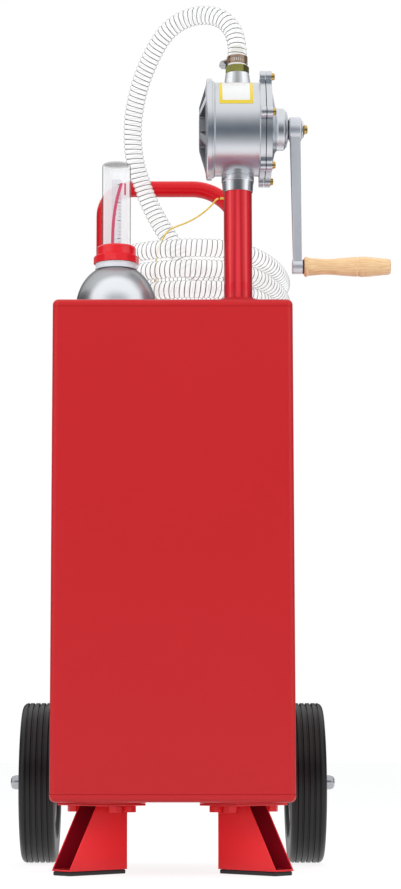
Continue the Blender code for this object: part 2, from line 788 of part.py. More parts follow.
def make_pump():
    axis = carrier("pump_axis", (0, port_y, pump_z), caddy_frame)

    # End cover on the left, with a coned middle and pockets between its ribs
    dome = [(0, 0), (end_dome_top_radius, 0), (end_dome_foot_radius, end_dome_height - end_flange_edge),
            (end_flange_radius - end_flange_edge, end_dome_height),
            (end_flange_radius, end_dome_height + end_flange_edge),
            (end_flange_radius, end_dome_height + end_flange_thickness),
            (0, end_dome_height + end_flange_thickness)]
    end_cover = place("pump_end_cover", turned("pump_end_cover", dome, sides_large), axis,
                      (pump_cover_start - end_dome_height, 0, 0), SILVER, along_x)
    for pocket in range(end_pocket_count):
        angle = tau * (pocket + 0.5) / end_pocket_count
        radial = end_pocket_outer - end_pocket_inner
        middle = (end_pocket_outer + end_pocket_inner) / 2
        depth = end_dome_height + overrun
        shape = block("pocket", (depth, end_pocket_width, radial),
                      ((depth / 2) - overrun - end_pocket_floor, 0, middle))
        for vertex in shape.vertices:
            if vertex.co.z > middle:
                vertex.co.y *= end_pocket_outer_width / end_pocket_width
        name = "end_pocket_%d" % pocket
        cut(end_cover, tool(name, shape, axis, (pump_cover_start - end_dome_height, 0, 0), (angle, 0, 0)))
    bearing = cylinder("bearing_pocket", shaft_radius + shaft_gap, bearing_pocket_depth + overrun,
                       sides_medium)
    bearing_x = body_start - seat_gap - bearing_pocket_depth
    cut(end_cover, tool("bearing_pocket", bearing, axis, (bearing_x, 0, 0), along_x))

    # Pump body: barrel, lip, eared flange, bosses, then the offset bore and the ports
    barrel = [(0, 0), (body_lip_radius, 0), (body_lip_radius, body_lip_length), (body_radius, body_lip_length),
              (body_radius, body_length - overrun), (body_radius, body_length), (0, body_length)]
    body = place("pump_body", turned("pump_body", barrel, sides_large), axis,
                 (body_start, 0, 0), SILVER, along_x)
    flange_x = body_start + body_length - body_flange_length
    flange = plate("body_flange", eared_outline(body_flange_radius), body_flange_length)
    join(body, tool("body_flange", flange, axis, (flange_x, 0, 0), facing_x))
    boss_height = outlet_boss_top - pump_z - body_radius + outlet_boss_sink
    outlet = cylinder("outlet_boss", outlet_boss_foot_radius + outlet_boss_sink / 8, boss_height,
                      sides_medium, outlet_boss_top_radius)
    join(body, tool("outlet_boss", outlet, axis, (port_x, 0, body_radius - outlet_boss_sink)))
    inlet_bottom = coupling_bottom + coupling_height + seat_gap - pump_z
    inlet = cylinder("inlet_boss", inlet_boss_radius, outlet_boss_sink, sides_medium)
    join(body, tool("inlet_boss", inlet, axis, (port_x, 0, inlet_bottom)))
    chamber = cylinder("pump_bore", bore_radius, body_length + 2 * overrun, sides_large)
    cut(body, tool("pump_bore", chamber, axis, (body_start - overrun, bore_offset, 0), along_x))
    out_port = cylinder("outlet_port", port_hole_radius, body_radius, sides_medium)
    cut(body, tool("outlet_port", out_port, axis, (port_x, 0, bore_radius / 2)))
    in_port = cylinder("inlet_port", inlet_hole_radius, body_radius, sides_medium)
    cut(body, tool("inlet_port", in_port, axis, (port_x, 0, -bore_radius / 2 - body_radius)))

    # Gasket and cover on the right
    ring = [(gasket_bore, 0), (gasket_radius, 0), (gasket_radius, gasket_thickness), (gasket_bore, gasket_thickness)]
    place("cover_gasket", turned("cover_gasket", ring, sides_large), axis, (gasket_start, 0, 0), BLACK, along_x)
    cover = place("pump_cover", plate("pump_cover", eared_outline(body_flange_radius), cover_thickness),
                  axis, (cover_start, 0, 0), SILVER, facing_x)
    top = cover_thickness + cover_dome_height
    boss_end = top + cover_boss_length
    boss = [(0, overrun), (cover_dome_foot_radius, overrun), (cover_dome_foot_radius, cover_thickness),
            (cover_dome_top_radius, top), (cover_boss_radius, top),
            (cover_boss_radius, boss_end - cover_boss_edge),
            (cover_boss_radius - cover_boss_edge, boss_end), (0, boss_end)]
    join(cover, tool("cover_boss", turned("cover_boss", boss, sides_large), axis, (cover_start, 0, 0), along_x))
    shaft_hole = cylinder("cover_shaft_hole", shaft_radius + shaft_gap, boss_end + 2 * overrun, sides_medium)
    cut(cover, tool("cover_shaft_hole", shaft_hole, axis, (cover_start - overrun, 0, 0), along_x))
    bore = shaft_radius + shaft_gap
    gland = [(bore, 0), (gland_base_radius, 0), (gland_base_radius, gland_length * 0.25),
             (gland_tip_radius, gland_length), (bore, gland_length)]
    place("gland_nut", turned("gland_nut", gland, sides_large), axis, (gland_start, 0, 0), SILVER, along_x)
    return axis


def make_crank(pump_axis):
    axis = carrier("crank_axis", (0, 0, 0), pump_axis)

    # Shaft from the end cover's bearing to the crank's hub
    shaft_start = body_start - bearing_pocket_depth + seat_gap
    shaft_end = crank_hub_start + crank_hub_length - seat_gap
    shaft = place("pump_shaft", cylinder("pump_shaft", shaft_radius, shaft_end - shaft_start, sides_medium),
                  axis, (shaft_start, 0, 0), STEEL, along_x)
    tapped = cylinder("shaft_thread", crank_screw_shank_radius + seat_gap, crank_screw_shank_length + overrun,
                      sides_small)
    cut(shaft, tool("shaft_thread", tapped, axis, (shaft_end - crank_screw_shank_length, 0, 0), along_x))

    # Rotor with two slots, and the vanes drawn into them
    rotor_start = body_start + rotor_end_gap
    rotor_length = body_length - rotor_end_gap
    rotor = place("pump_rotor", cylinder("pump_rotor", rotor_radius, rotor_length, sides_large),
                  axis, (rotor_start, 0, 0), SILVER, along_x)
    rotor_hole = cylinder("rotor_hole", shaft_radius + shaft_gap, rotor_length + 2 * overrun, sides_medium)
    cut(rotor, tool("rotor_hole", rotor_hole, axis, (rotor_start - overrun, 0, 0), along_x))
    slot_depth = rotor_radius - vane_root
    for name, side in (("vane_a", 1), ("vane_b", -1)):
        middle = vane_root + slot_depth / 2
        slot = block(name + "_slot", (rotor_length + 2 * overrun, vane_thickness + 2 * vane_running_gap,
                                      slot_depth + overrun), (0, 0, side * (middle + overrun / 2)))
        centre_x = rotor_start + rotor_length / 2
        cut(rotor, tool(name + "_slot", slot, axis, (centre_x, 0, 0), (radians(35), 0, 0)))
        vane = block(name, (rotor_length - rotor_end_gap, vane_thickness, slot_depth - 2 * vane_running_gap),
                     (0, 0, side * middle))
        place(name, vane, axis, (centre_x, 0, 0), BLACK, (radians(35), 0, 0))

    # Arm hanging from the hub to the grip's boss
    hub = place("crank_arm", cylinder("crank_arm", crank_hub_radius, crank_hub_length, sides_large),
                axis, (crank_hub_start, 0, 0), SILVER, along_x)
    bar = bmesh.new()
    bmesh.ops.create_cube(bar, size=1)
    for vertex in bar.verts:
        upper = vertex.co.z > 0
        thickness = crank_arm_top_thickness if upper else crank_arm_end_thickness
        width = crank_arm_top_width if upper else crank_arm_end_width
        middle = crank_hub_start + crank_hub_length / 2
        if not upper:
            middle = crank_end_start + crank_end_length / 2
        vertex.co.x = middle + vertex.co.x * thickness
        vertex.co.y = vertex.co.y * width
        vertex.co.z = -crank_hub_radius / 2 if upper else -crank_length
    upright = [e for e in bar.edges if abs(e.verts[0].co.z - e.verts[1].co.z) > crank_length / 2]
    bmesh.ops.bevel(bar, geom=upright, offset=crank_arm_edge, segments=2, profile=0.5, affect="EDGES")
    join(hub, tool("arm_bar", mesh_from(bar, "arm_bar"), axis, (0, 0, 0)))
    end_boss = cylinder("arm_end", crank_end_radius, crank_end_length, sides_medium)
    join(hub, tool("arm_end", end_boss, axis, (crank_end_start, 0, -crank_length), along_x))
    hub_hole = cylinder("hub_hole", shaft_radius + shaft_gap, crank_hub_length + 2 * overrun, sides_medium)
    cut(hub, tool("hub_hole", hub_hole, axis, (crank_hub_start - overrun, 0, 0), along_x))
    pin_hole = cylinder("pin_hole", grip_pin_radius + seat_gap, crank_end_length + 2 * overrun, sides_small)
    cut(hub, tool("pin_hole", pin_hole, axis, (crank_end_start - overrun, 0, -crank_length), along_x))

    # Domed washer and screw that hold the hub on the shaft
    hole = crank_screw_shank_radius + seat_gap
    washer_x = crank_hub_start + crank_hub_length + seat_gap
    washer = [(hole, 0), (crank_washer_radius, 0), (crank_washer_radius * 0.86, crank_washer_thickness * 0.55),
              (crank_washer_radius * 0.5, crank_washer_thickness), (hole, crank_washer_thickness)]
    place("crank_washer", turned("crank_washer", washer, sides_medium), axis, (washer_x, 0, 0), CHROME, along_x)
    screw_x = washer_x + crank_washer_thickness + seat_gap
    shank = screw_x - shaft_end + crank_screw_shank_length - seat_gap
    screw = [(0, -shank), (crank_screw_shank_radius, -shank), (crank_screw_shank_radius, 0),
             (crank_screw_head_radius, 0), (crank_screw_head_radius, crank_screw_head_length * 0.6),
             (crank_screw_head_radius * 0.6, crank_screw_head_length), (0, crank_screw_head_length)]
    place("crank_screw", turned("crank_screw", screw, sides_small), axis, (screw_x, 0, 0), BRASS, along_x)

    # Grip that turns on its pin
    grip_axis = carrier("grip_axis", (0, 0, -crank_length), axis)
    grip_x = crank_end_start + crank_end_length + seat_gap
    recess = grip_length - grip_pin_head_length - seat_gap
    recess_radius = grip_pin_head_radius + seat_gap
    profile = [(radius, x) for x, radius in grip_profile]
    profile += [(recess_radius, grip_length), (recess_radius, recess), (grip_bore, recess), (grip_bore, 0)]
    place("crank_grip", turned("crank_grip", profile, sides_medium), grip_axis, (grip_x, 0, 0), WOOD, along_x)
    pin_length = grip_x + recess + seat_gap - crank_end_start
    pin = [(0, 0), (grip_pin_radius, 0), (grip_pin_radius, pin_length), (grip_pin_head_radius, pin_length),
           (grip_pin_head_radius, pin_length + grip_pin_head_length - seat_gap),
           (0, pin_length + grip_pin_head_length - seat_gap)]
    place("grip_pin", turned("grip_pin", pin, sides_small), grip_axis, (crank_end_start, 0, 0), STEEL, along_x)


def make_outlet():
    spot = carrier("outlet_spot", (port_x, port_y, outlet_boss_top), caddy_frame)
    top = hex_height + barb_length
    corner = hex_corner_radius
    shoulder = seat_gap + hex_height / 2
    body = [(0, -fitting_spigot_length), (fitting_spigot_radius, -fitting_spigot_length),
            (fitting_spigot_radius, shoulder), (barb_radius, shoulder), (barb_radius, top), (0, top)]
    barb = place("hose_barb", turned("hose_barb", body, sides_medium), spot, (0, 0, 0), ZINC)
    hexagon = plate("hexagon", arc(0, 0, corner, 0, tau * 5 / 6, 5), hex_height)
    join(barb, tool("hexagon", hexagon, spot, (0, 0, seat_gap)))
    through = cylinder("barb_through", barb_bore, top + fitting_spigot_length + 2 * overrun, sides_medium)
    cut(barb, tool("barb_through", through, spot, (0, 0, -fitting_spigot_length - overrun)))

    # Band clamp round the hose's plain end, with its screw housing
    inner = hose_radius + seat_gap
    outer = inner + clamp_wall
    clamp_z = seat_gap + hex_height + clamp_rise
    band = place("hose_clamp", turned("hose_clamp", [(inner, 0), (outer, 0), (outer, clamp_height),
                                                     (inner, clamp_height)], sides_large),
                 spot, (0, 0, clamp_z), STEEL)
    reach = outer - clamp_wall / 2 + clamp_housing_depth / 2
    housing = block("clamp_housing", (clamp_housing_depth, clamp_housing_width, clamp_height),
                    (reach, 0, clamp_height / 2))
    join(band, tool("clamp_housing", housing, spot, (0, 0, clamp_z), (0, 0, clamp_housing_turn)))
    screw_room = clamp_screw_radius + seat_gap
    tunnel = cylinder("clamp_tunnel", screw_room, clamp_housing_width + 2 * overrun, sides_small)
    side = Vector((cos(clamp_housing_turn), sin(clamp_housing_turn), 0))
    sideways = Vector((-side.y, side.x, 0))
    screw_line = outer + screw_room + (clamp_housing_depth - clamp_wall - 2 * screw_room) / 2
    middle = side * screw_line
    start = middle - sideways * (clamp_housing_width / 2)
    clamp_turn = (pi / 2, 0, clamp_housing_turn + pi)
    tunnel_start = start - sideways * overrun
    lift = clamp_z + clamp_height / 2
    cut(band, tool("clamp_tunnel", tunnel, spot, (tunnel_start.x, tunnel_start.y, lift), clamp_turn))
    head_end = start - sideways * (clamp_screw_head_length + seat_gap)
    screw = [(0, 0), (clamp_screw_head_radius, 0), (clamp_screw_head_radius, clamp_screw_head_length),
             (clamp_screw_radius, clamp_screw_head_length),
             (clamp_screw_radius, clamp_screw_head_length + clamp_housing_width), (0, clamp_screw_head_length
                                                                                   + clamp_housing_width)]
    place("clamp_screw", turned("clamp_screw", screw, sides_small), spot,
          (head_end.x, head_end.y, lift), CHROME, clamp_turn)


def make_gauge():
    spot = carrier("gauge_spot", (gauge_x, gauge_y, tank_top), caddy_frame)

    # Half-ball housing on the tank top
    inner = dome_radius - dome_sheet
    outer_stop = sqrt(dome_radius ** 2 - dome_opening ** 2)
    inner_stop = sqrt(inner ** 2 - dome_opening ** 2)
    steps = 6
    outside = []
    inside = []
    for step in range(steps + 1):
        height = seat_gap + (outer_stop - seat_gap) * sin(pi / 2 * step / steps)
        outside.append((sqrt(dome_radius ** 2 - height ** 2), height))
        height = seat_gap + (inner_stop - seat_gap) * sin(pi / 2 * step / steps)
        inside.append((sqrt(inner ** 2 - height ** 2), height))
    profile = outside + list(reversed(inside))
    place("gauge_dome", turned("gauge_dome", profile, sides_dome), spot, (0, 0, 0), CHROME)

    # Neck, nut and clear tube
    neck_seat = sqrt((dome_radius + seat_gap) ** 2 - neck_radius ** 2)
    spigot = dome_opening - seat_gap
    neck_inner = spigot - neck_wall
    crown = sqrt((dome_radius + seat_gap) ** 2 - spigot ** 2) + seat_gap
    neck_top = neck_seat + neck_height
    neck = [(neck_inner, crown - neck_spigot_length), (spigot, crown - neck_spigot_length), (spigot, crown),
            (neck_radius, neck_seat), (neck_radius, neck_top), (neck_inner, neck_top)]
    place("gauge_neck", turned("gauge_neck", neck, sides_dome), spot, (0, 0, 0), PALE)
    base_z = neck_top + seat_gap
    base = place("gauge_stem", cylinder("gauge_stem", gauge_base_radius + 2 * seat_gap, gauge_base_height,
                                        sides_medium), spot, (0, 0, base_z), STEEL)
    tube_z = base_z
    bore = gauge_tube_radius - gauge_tube_wall
    glass = [(bore, 0), (gauge_tube_flange_radius, 0), (gauge_tube_flange_radius, gauge_tube_flange_height),
             (gauge_tube_radius, gauge_tube_flange_height), (gauge_tube_radius, gauge_tube_height - gauge_tube_wall),
             (gauge_tube_radius - gauge_tube_wall, gauge_tube_height), (0, gauge_tube_height),
             (0, gauge_tube_height - gauge_tube_wall), (bore, gauge_tube_height - gauge_tube_wall)]
    place("gauge_tube", turned("gauge_tube", glass, sides_dome), spot, (0, 0, tube_z), CLEAR)
    nut_bore = gauge_tube_radius + seat_gap
    nut_room = gauge_tube_flange_radius + seat_gap
    shoulder = gauge_tube_flange_height + seat_gap
    facets = arc(0, 0, nut_flange_radius, 0, tau * (nut_facets - 1) / nut_facets, nut_facets - 1)
    nut = place("gauge_nut", plate("gauge_nut", facets, nut_flange_height), spot, (0, 0, tube_z), NUT_RED)
    half_flange = nut_flange_height / 2
    crown = cylinder("nut_crown", nut_radius, nut_height - half_flange, sides_dome)
    join(nut, tool("nut_crown", crown, spot, (0, 0, tube_z + half_flange)))
    room = cylinder("nut_room", nut_room, shoulder + overrun, sides_dome)
    cut(nut, tool("nut_room", room, spot, (0, 0, tube_z - overrun)))
    through = cylinder("nut_through", nut_bore, nut_height + 2 * overrun, sides_dome)
    cut(nut, tool("nut_through", through, spot, (0, 0, tube_z - overrun)))

    # Scale strip, stem with its pivot pin, and the hole for the pointer's rod
    deck = base_z + gauge_base_height + seat_gap
    strip = block("gauge_scale", (scale_width, scale_thickness, scale_height),
                  (0, scale_setback, scale_height / 2))
    place("gauge_scale", strip, spot, (0, 0, deck), PALE)
    bar_x = -stem_offset - stem_thickness / 2
    drop = stem_drop + base_z
    bar = block("stem_bar", (stem_thickness, stem_width, drop), (bar_x, 0, base_z + overrun / 5 - drop / 2))
    join(base, tool("stem_bar", bar, spot, (0, 0, 0)))
    pivot_z = base_z - stem_drop
    pin_length = stem_offset + float_pin_length
    pin = [(0, 0), (float_pin_radius, 0), (float_pin_radius, pin_length), (float_pin_head_radius, pin_length),
           (float_pin_head_radius, pin_length + float_pin_head_length), (0, pin_length + float_pin_head_length)]
    join(base, tool("stem_pin", turned("stem_pin", pin, sides_small), spot, (bar_x, 0, pivot_z), along_x))
    rod_hole = cylinder("rod_hole", pointer_rod_radius + seat_gap, gauge_base_height + 2 * overrun, sides_small)
    cut(base, tool("rod_hole", rod_hole, spot, (pointer_offset, -scale_setback, base_z - overrun)))

    # Pointer: a red blade on a rod
    blade_bottom = pointer_rise
    blade_height = pointer_height
    left = []
    right = []
    blade_steps = 8
    for step in range(blade_steps + 1):
        rise = step / blade_steps
        shift = pointer_lean * rise ** 3
        width = pointer_width * (1 - 0.35 * rise ** 2)
        left.append((shift - width / 2, blade_height * rise))
        right.append((shift + width / 2, blade_height * rise))
    outline = left + list(reversed(right))
    blade = plate("gauge_pointer", outline, pointer_thickness)
    pointer = place("gauge_pointer", blade, spot,
                    (pointer_offset, -scale_setback + pointer_thickness / 2, blade_bottom), NUT_RED, (pi / 2, 0, 0))
    rod = cylinder("pointer_rod", pointer_rod_radius, pointer_rod_drop, sides_small)
    join(pointer, tool("pointer_rod", rod, spot,
                       (pointer_offset, -scale_setback, blade_bottom + overrun - pointer_rod_drop)))

    # Float arm and ball on the pivot
    pivot_x = float_pin_length - float_eye_width - seat_gap
    pivot = carrier("float_pivot", (0, 0, pivot_z), spot)
    pivot.rotation_euler = (float_rest_angle, 0, 0)
    eye_bore = float_pin_radius + seat_gap
    eye_length = float_eye_width
    eye = [(eye_bore, 0), (float_eye_radius, 0), (float_eye_radius, eye_length), (eye_bore, eye_length)]
    start_x = bar_x + stem_thickness / 2 + pin_length - eye_length - stem_thickness / 2 - seat_gap
    arm = place("float_arm", turned("float_arm", eye, sides_medium), pivot, (start_x, 0, 0), STEEL, along_x)
    wire_length = float_arm_length - float_ball_radius - (eye_bore + float_eye_radius) / 2
    wire = cylinder("float_wire", float_arm_radius, wire_length, sides_small)
    join(arm, tool("float_wire", wire, pivot,
                   (start_x + eye_length / 2, (eye_bore + float_eye_radius) / 2, 0), (-pi / 2, 0, 0)))
    ball = bmesh.new()
    bmesh.ops.create_uvsphere(ball, u_segments=sides_medium, v_segments=sides_small, radius=float_ball_radius)
    place("float_ball", mesh_from(ball, "float_ball"), pivot,
          (start_x + eye_length / 2, float_arm_length + seat_gap, 0), BLACK)
    return pivot_x


def make_handle():
    spot = carrier("handle_spot", (0, tank_depth + handle_standoff, 0), caddy_frame)
    bar = handle_x - handle_bend_radius
    corner = handle_top - handle_bend_radius
    profile = [(-handle_x, handle_foot)]
    profile += arc(-bar, corner, handle_bend_radius, pi, pi / 2, handle_bend_steps)
    profile += arc(bar, corner, handle_bend_radius, pi / 2, 0, handle_bend_steps)
    profile += [(handle_x, handle_foot)]
    path = [(x, 0, z) for x, z in profile]
    handle = place("push_handle", tube("push_handle", path, handle_radius, 2), spot, (0, 0, 0), RED)
    path[0] = (-handle_x, 0, handle_foot - overrun)
    path[-1] = (handle_x, 0, handle_foot - overrun)
    inside = tube("handle_inside", path, handle_radius - handle_wall, 2)
    cut(handle, tool("handle_inside", inside, spot, (0, 0, 0)))

    inner = handle_radius + seat_gap
    outer = inner + saddle_sheet
    wall = handle_standoff - seat_gap
    edge = outer + saddle_flange
    outline = [(-edge, -wall), (-edge, -wall + saddle_sheet), (-outer, -wall + saddle_sheet)]
    outline += arc(0, 0, outer, pi, 0, 8)
    outline += [(outer, -wall + saddle_sheet), (edge, -wall + saddle_sheet), (edge, -wall), (inner, -wall)]
    outline += arc(0, 0, inner, 0, pi, 8)
    outline += [(-inner, -wall)]
    for level, height in zip(("lower", "upper"), saddle_heights):
        for side, x in (("left", -handle_x), ("right", handle_x)):
            name = "handle_saddle_%s_%s" % (level, side)
            saddle = place(name, plate(name, outline, saddle_height), spot,
                           (x, 0, height - saddle_height / 2), RED)
            for end in (-1, 1):
                head = cylinder(name + "_head", saddle_screw_radius, saddle_screw_height, sides_small)
                join(saddle, tool("%s_head_%d" % (name, end), head, spot,
                                  (x + end * (outer + saddle_flange / 2), saddle_sheet / 2 - wall, height),
                                  (-pi / 2, 0, 0)))


def make_axle():
    spot = carrier("axle_line", (0, axle_y, wheel_radius), caddy_frame)
    cap_start = wheel_middle + hub_outer_reach + seat_gap
    half = cap_start + axle_cap_length - axle_cap_wall - seat_gap
    place("axle", cylinder("axle", axle_radius, 2 * half, sides_medium), spot, (-half, 0, 0), STEEL, along_x)
    bracket_end = wheel_middle - hub_inner_reach - seat_gap
    back = seat_gap - axle_standoff
    low = -axle_bracket_radius * 0.9
    outline = [(back, low)] + arc(0, 0, axle_bracket_radius, -pi / 2, pi / 4, 8)
    outline += [(back, axle_bracket_height)]
    for side, name in ((-1, "left"), (1, "right")):
        inner = side * bracket_end - (axle_bracket_thickness if side > 0 else 0)
        bracket = place("axle_bracket_" + name, plate("axle_bracket_" + name, outline, axle_bracket_thickness),
                        spot, (inner, 0, 0), RED, facing_x)
        hole = cylinder("bracket_hole_" + name, axle_radius + seat_gap,
                        axle_bracket_thickness + 2 * overrun, sides_medium)
        cut(bracket, tool("bracket_hole_" + name, hole, spot, (inner - overrun, 0, 0), along_x))
    bore = axle_radius + seat_gap
    dome = [(bore, 0), (axle_cap_radius, 0), (axle_cap_radius, axle_cap_flange),
            (axle_cap_radius * 0.94, axle_cap_flange)]
    length = axle_cap_length - axle_cap_flange
    for step in range(1, 4):
        angle = pi / 2 * step / 4
        dome.append((axle_cap_radius * 0.94 * cos(angle), axle_cap_flange + length * sin(angle)))
    dome += [(0, axle_cap_length), (0, axle_cap_length - axle_cap_wall), (bore, axle_cap_length - axle_cap_wall)]
    for side, name in ((-1, "left"), (1, "right")):
        place("axle_cap_" + name, turned("axle_cap_" + name, dome, sides_medium), spot,
              (side * cap_start, 0, 0), CHROME, (0, side * pi / 2, 0))


def tyre_profile():
    """Half-round shouldered tyre section with grooves; heights run along the axle."""
    bead = rim_radius + seat_gap
    ground = wheel_radius
    shoulder = tyre_half_width - tyre_shoulder_radius
    crown = ground - tyre_shoulder_radius
    lip = tyre_bead_half_width - seat_gap
    points = [(bead, -lip), (bead + rim_lip_height, -lip), (bead + tyre_bead_height, -tyre_half_width)]
    points += [(x, y) for y, x in arc(-shoulder, crown, tyre_shoulder_radius, pi, pi / 2, 2)]
    for groove in range(tread_groove_count):
        middle = (groove - (tread_groove_count - 1) / 2) * tread_groove_pitch
        half = tread_groove_width / 2
        if abs(middle) + half > shoulder:
            middle = (shoulder - half) * (1 if middle > 0 else -1)
        points += [(ground, middle - half), (ground - tread_groove_depth, middle), (ground, middle + half)]
    points += [(x, y) for y, x in arc(shoulder, crown, tyre_shoulder_radius, pi / 2, 0, 2)]
    points += [(bead + tyre_bead_height, tyre_half_width), (bead + rim_lip_height, lip), (bead, lip)]
    return points


def rim_profile():
    """Pressed rim: a channel for the tyre, a dished disc and a hub tube."""
    half = tyre_bead_half_width + rim_sheet
    lip = rim_radius + rim_lip_height
    inside = rim_radius - rim_sheet
    bore = axle_radius + axle_running_gap
    disc_in = hub_disc_offset - rim_sheet / 2
    disc_out = hub_disc_offset + rim_sheet / 2
    dish = rim_radius * 0.3
    return [(lip, half), (rim_radius, half - rim_sheet), (rim_radius, rim_sheet - half), (lip, -half), (inside, -half),
            (inside, -disc_in), (inside - dish, disc_in), (hub_radius, disc_in),
            (hub_radius, -hub_inner_reach), (bore, -hub_inner_reach), (bore, hub_outer_reach),
            (hub_radius, hub_outer_reach), (hub_radius, disc_out), (inside - dish, disc_out),
            (inside, rim_sheet - disc_in), (inside, half)]


def make_wheel(side, name):
    """One wheel about its joint; its outer side faces away from the tank."""
    spot = carrier("wheel_axis_" + name, (side * wheel_middle, axle_y, wheel_radius), caddy_frame)
    outward = along_x if side > 0 else (0, -pi / 2, 0)
    place("tyre_" + name, turned("tyre_" + name, tyre_profile(), sides_wheel), spot, (0, 0, 0), RUBBER, outward)
    place("rim_" + name, turned("rim_" + name, rim_profile(), sides_wheel), spot, (0, 0, 0), STEEL, outward)


def make_foot(side, name):
    """Foot under one front corner; its own x axis runs towards the open side."""
    spot = carrier("foot_spot_" + name, (side * foot_x, foot_y, 0), caddy_frame)
    spot.rotation_euler = (0, 0, -pi / 2 + side * foot_turn)
    deck = tank_clearance - seat_gap
    welded = block("foot_plate_" + name, (foot_flange_length, foot_flange_width, foot_plate_thickness),
                   (foot_flange_offset, 0, deck - foot_plate_thickness / 2))
    welded_plate = place("foot_plate_" + name, welded, spot, (0, 0, 0), RED)
    flange_top = deck - foot_plate_thickness - seat_gap
    flange_bottom = flange_top - foot_plate_thickness
    sole = foot_pad_height + seat_gap
    outline = [(0, sole), (foot_sole_reach, sole), (foot_sole_reach - foot_sheet, sole + 2 * foot_sheet),
               (foot_top_reach, flange_top), (0, flange_top)]
    side_turn = (pi / 2, 0, 0)
    channel = place("foot_" + name, plate("foot_" + name, outline, foot_channel_width), spot,
                    (0, foot_channel_width / 2, 0), RED, side_turn)
    hollow_outline = [(foot_sheet, sole + foot_sheet), (foot_sole_reach + overrun, sole + foot_sheet),
                      (foot_top_reach + overrun, flange_top + overrun), (foot_sheet, flange_top + overrun)]
    hollow_outline[2] = (foot_sole_reach + overrun, flange_top + overrun)
    hollow = plate("foot_hollow_" + name, hollow_outline, foot_channel_width - 2 * foot_sheet)
    cut(channel, tool("foot_hollow_" + name, hollow, spot,
                      (0, foot_channel_width / 2 - foot_sheet, 0), side_turn))
    flange = block("foot_flange_" + name, (foot_flange_length, foot_flange_width, foot_plate_thickness),
                   (foot_flange_offset, 0, flange_top - foot_plate_thickness / 2))
    join(channel, tool("foot_flange_" + name, flange, spot, (0, 0, 0)))
    pad_length = foot_sole_reach - 2 * foot_pad_margin
    pad = block("foot_pad_" + name, (pad_length, foot_channel_width - foot_pad_margin, foot_pad_height),
                (foot_pad_margin + pad_length / 2, 0, foot_pad_height / 2))
    place("foot_pad_" + name, pad, spot, (0, 0, 0), RUBBER)

    # Holes for the bolts
    holes = bmesh.new()
    for x, y in bolt_places():
        hole = Matrix.Translation((x, y, deck))
        bmesh.ops.create_cone(holes, cap_ends=True, segments=sides_small, depth=2 * (deck - flange_bottom) + overrun,
                              radius1=foot_bolt_shank_radius + seat_gap,
                              radius2=foot_bolt_shank_radius + seat_gap, matrix=hole)
    cut(channel, tool("foot_holes_" + name, mesh_from(holes, "foot_holes"), spot, (0, 0, 0)))

    # Bolts up into the welded plate, their heads under the flange
    head_top = flange_bottom - seat_gap
    head_bottom = head_top - foot_bolt_head_height
    shank_bottom = head_bottom + foot_bolt_head_height / 2
    shank_length = deck - foot_plate_thickness / 2 - shank_bottom
    for index, (x, y) in enumerate(bolt_places()):
        head = plate("bolt_head", arc(0, 0, foot_bolt_head_radius, 0, tau * 5 / 6, 5), foot_bolt_head_height)
        join(welded_plate, tool("bolt_head_%s_%d" % (name, index), head, spot, (x, y, head_bottom)))
        shank = cylinder("bolt_shank", foot_bolt_shank_radius, shank_length, sides_small)
        join(welded_plate, tool("bolt_shank_%s_%d" % (name, index), shank, spot, (x, y, shank_bottom)))


def bolt_places():
    """Middles of one foot's bolts in the foot's own axes."""
    places = []
    for along in (-1, 1):
        for across in (-1, 1):
            places.append((foot_flange_offset + along * foot_bolt_spacing / 2, across * foot_bolt_spread))
    return places


def coil_height(angle):
    """Height of the coil's centre line, falling one level in each turn's descent."""
    rest = tank_top + seat_gap + hose_radius
    height = rest + (coil_levels - 1) * coil_level_pitch
    for level in range(coil_levels - 1):
        start = coil_descent_start + tau * level
        share = (angle - start) / (coil_descent_end - coil_descent_start)
        share = min(max(share, 0), 1)
        height -= coil_level_pitch * share * share * (3 - 2 * share)
    return height


def lead_points():
    """Inner arc that brings the hose from the junction out to the coil's first turn."""
    offset = coil_radius - lead_radius
    centre = Vector((coil_x + offset * cos(lead_turn), coil_y + offset * sin(lead_turn)))
    points = []
    steps = len(lead_heights) - 1
    for step, sink in enumerate(lead_heights):
        angle = lead_start + (lead_turn - lead_start) * step / steps
        points.append(Vector((centre.x + lead_radius * cos(angle), centre.y + lead_radius * sin(angle),
                              coil_height(0) - sink)))
    return points


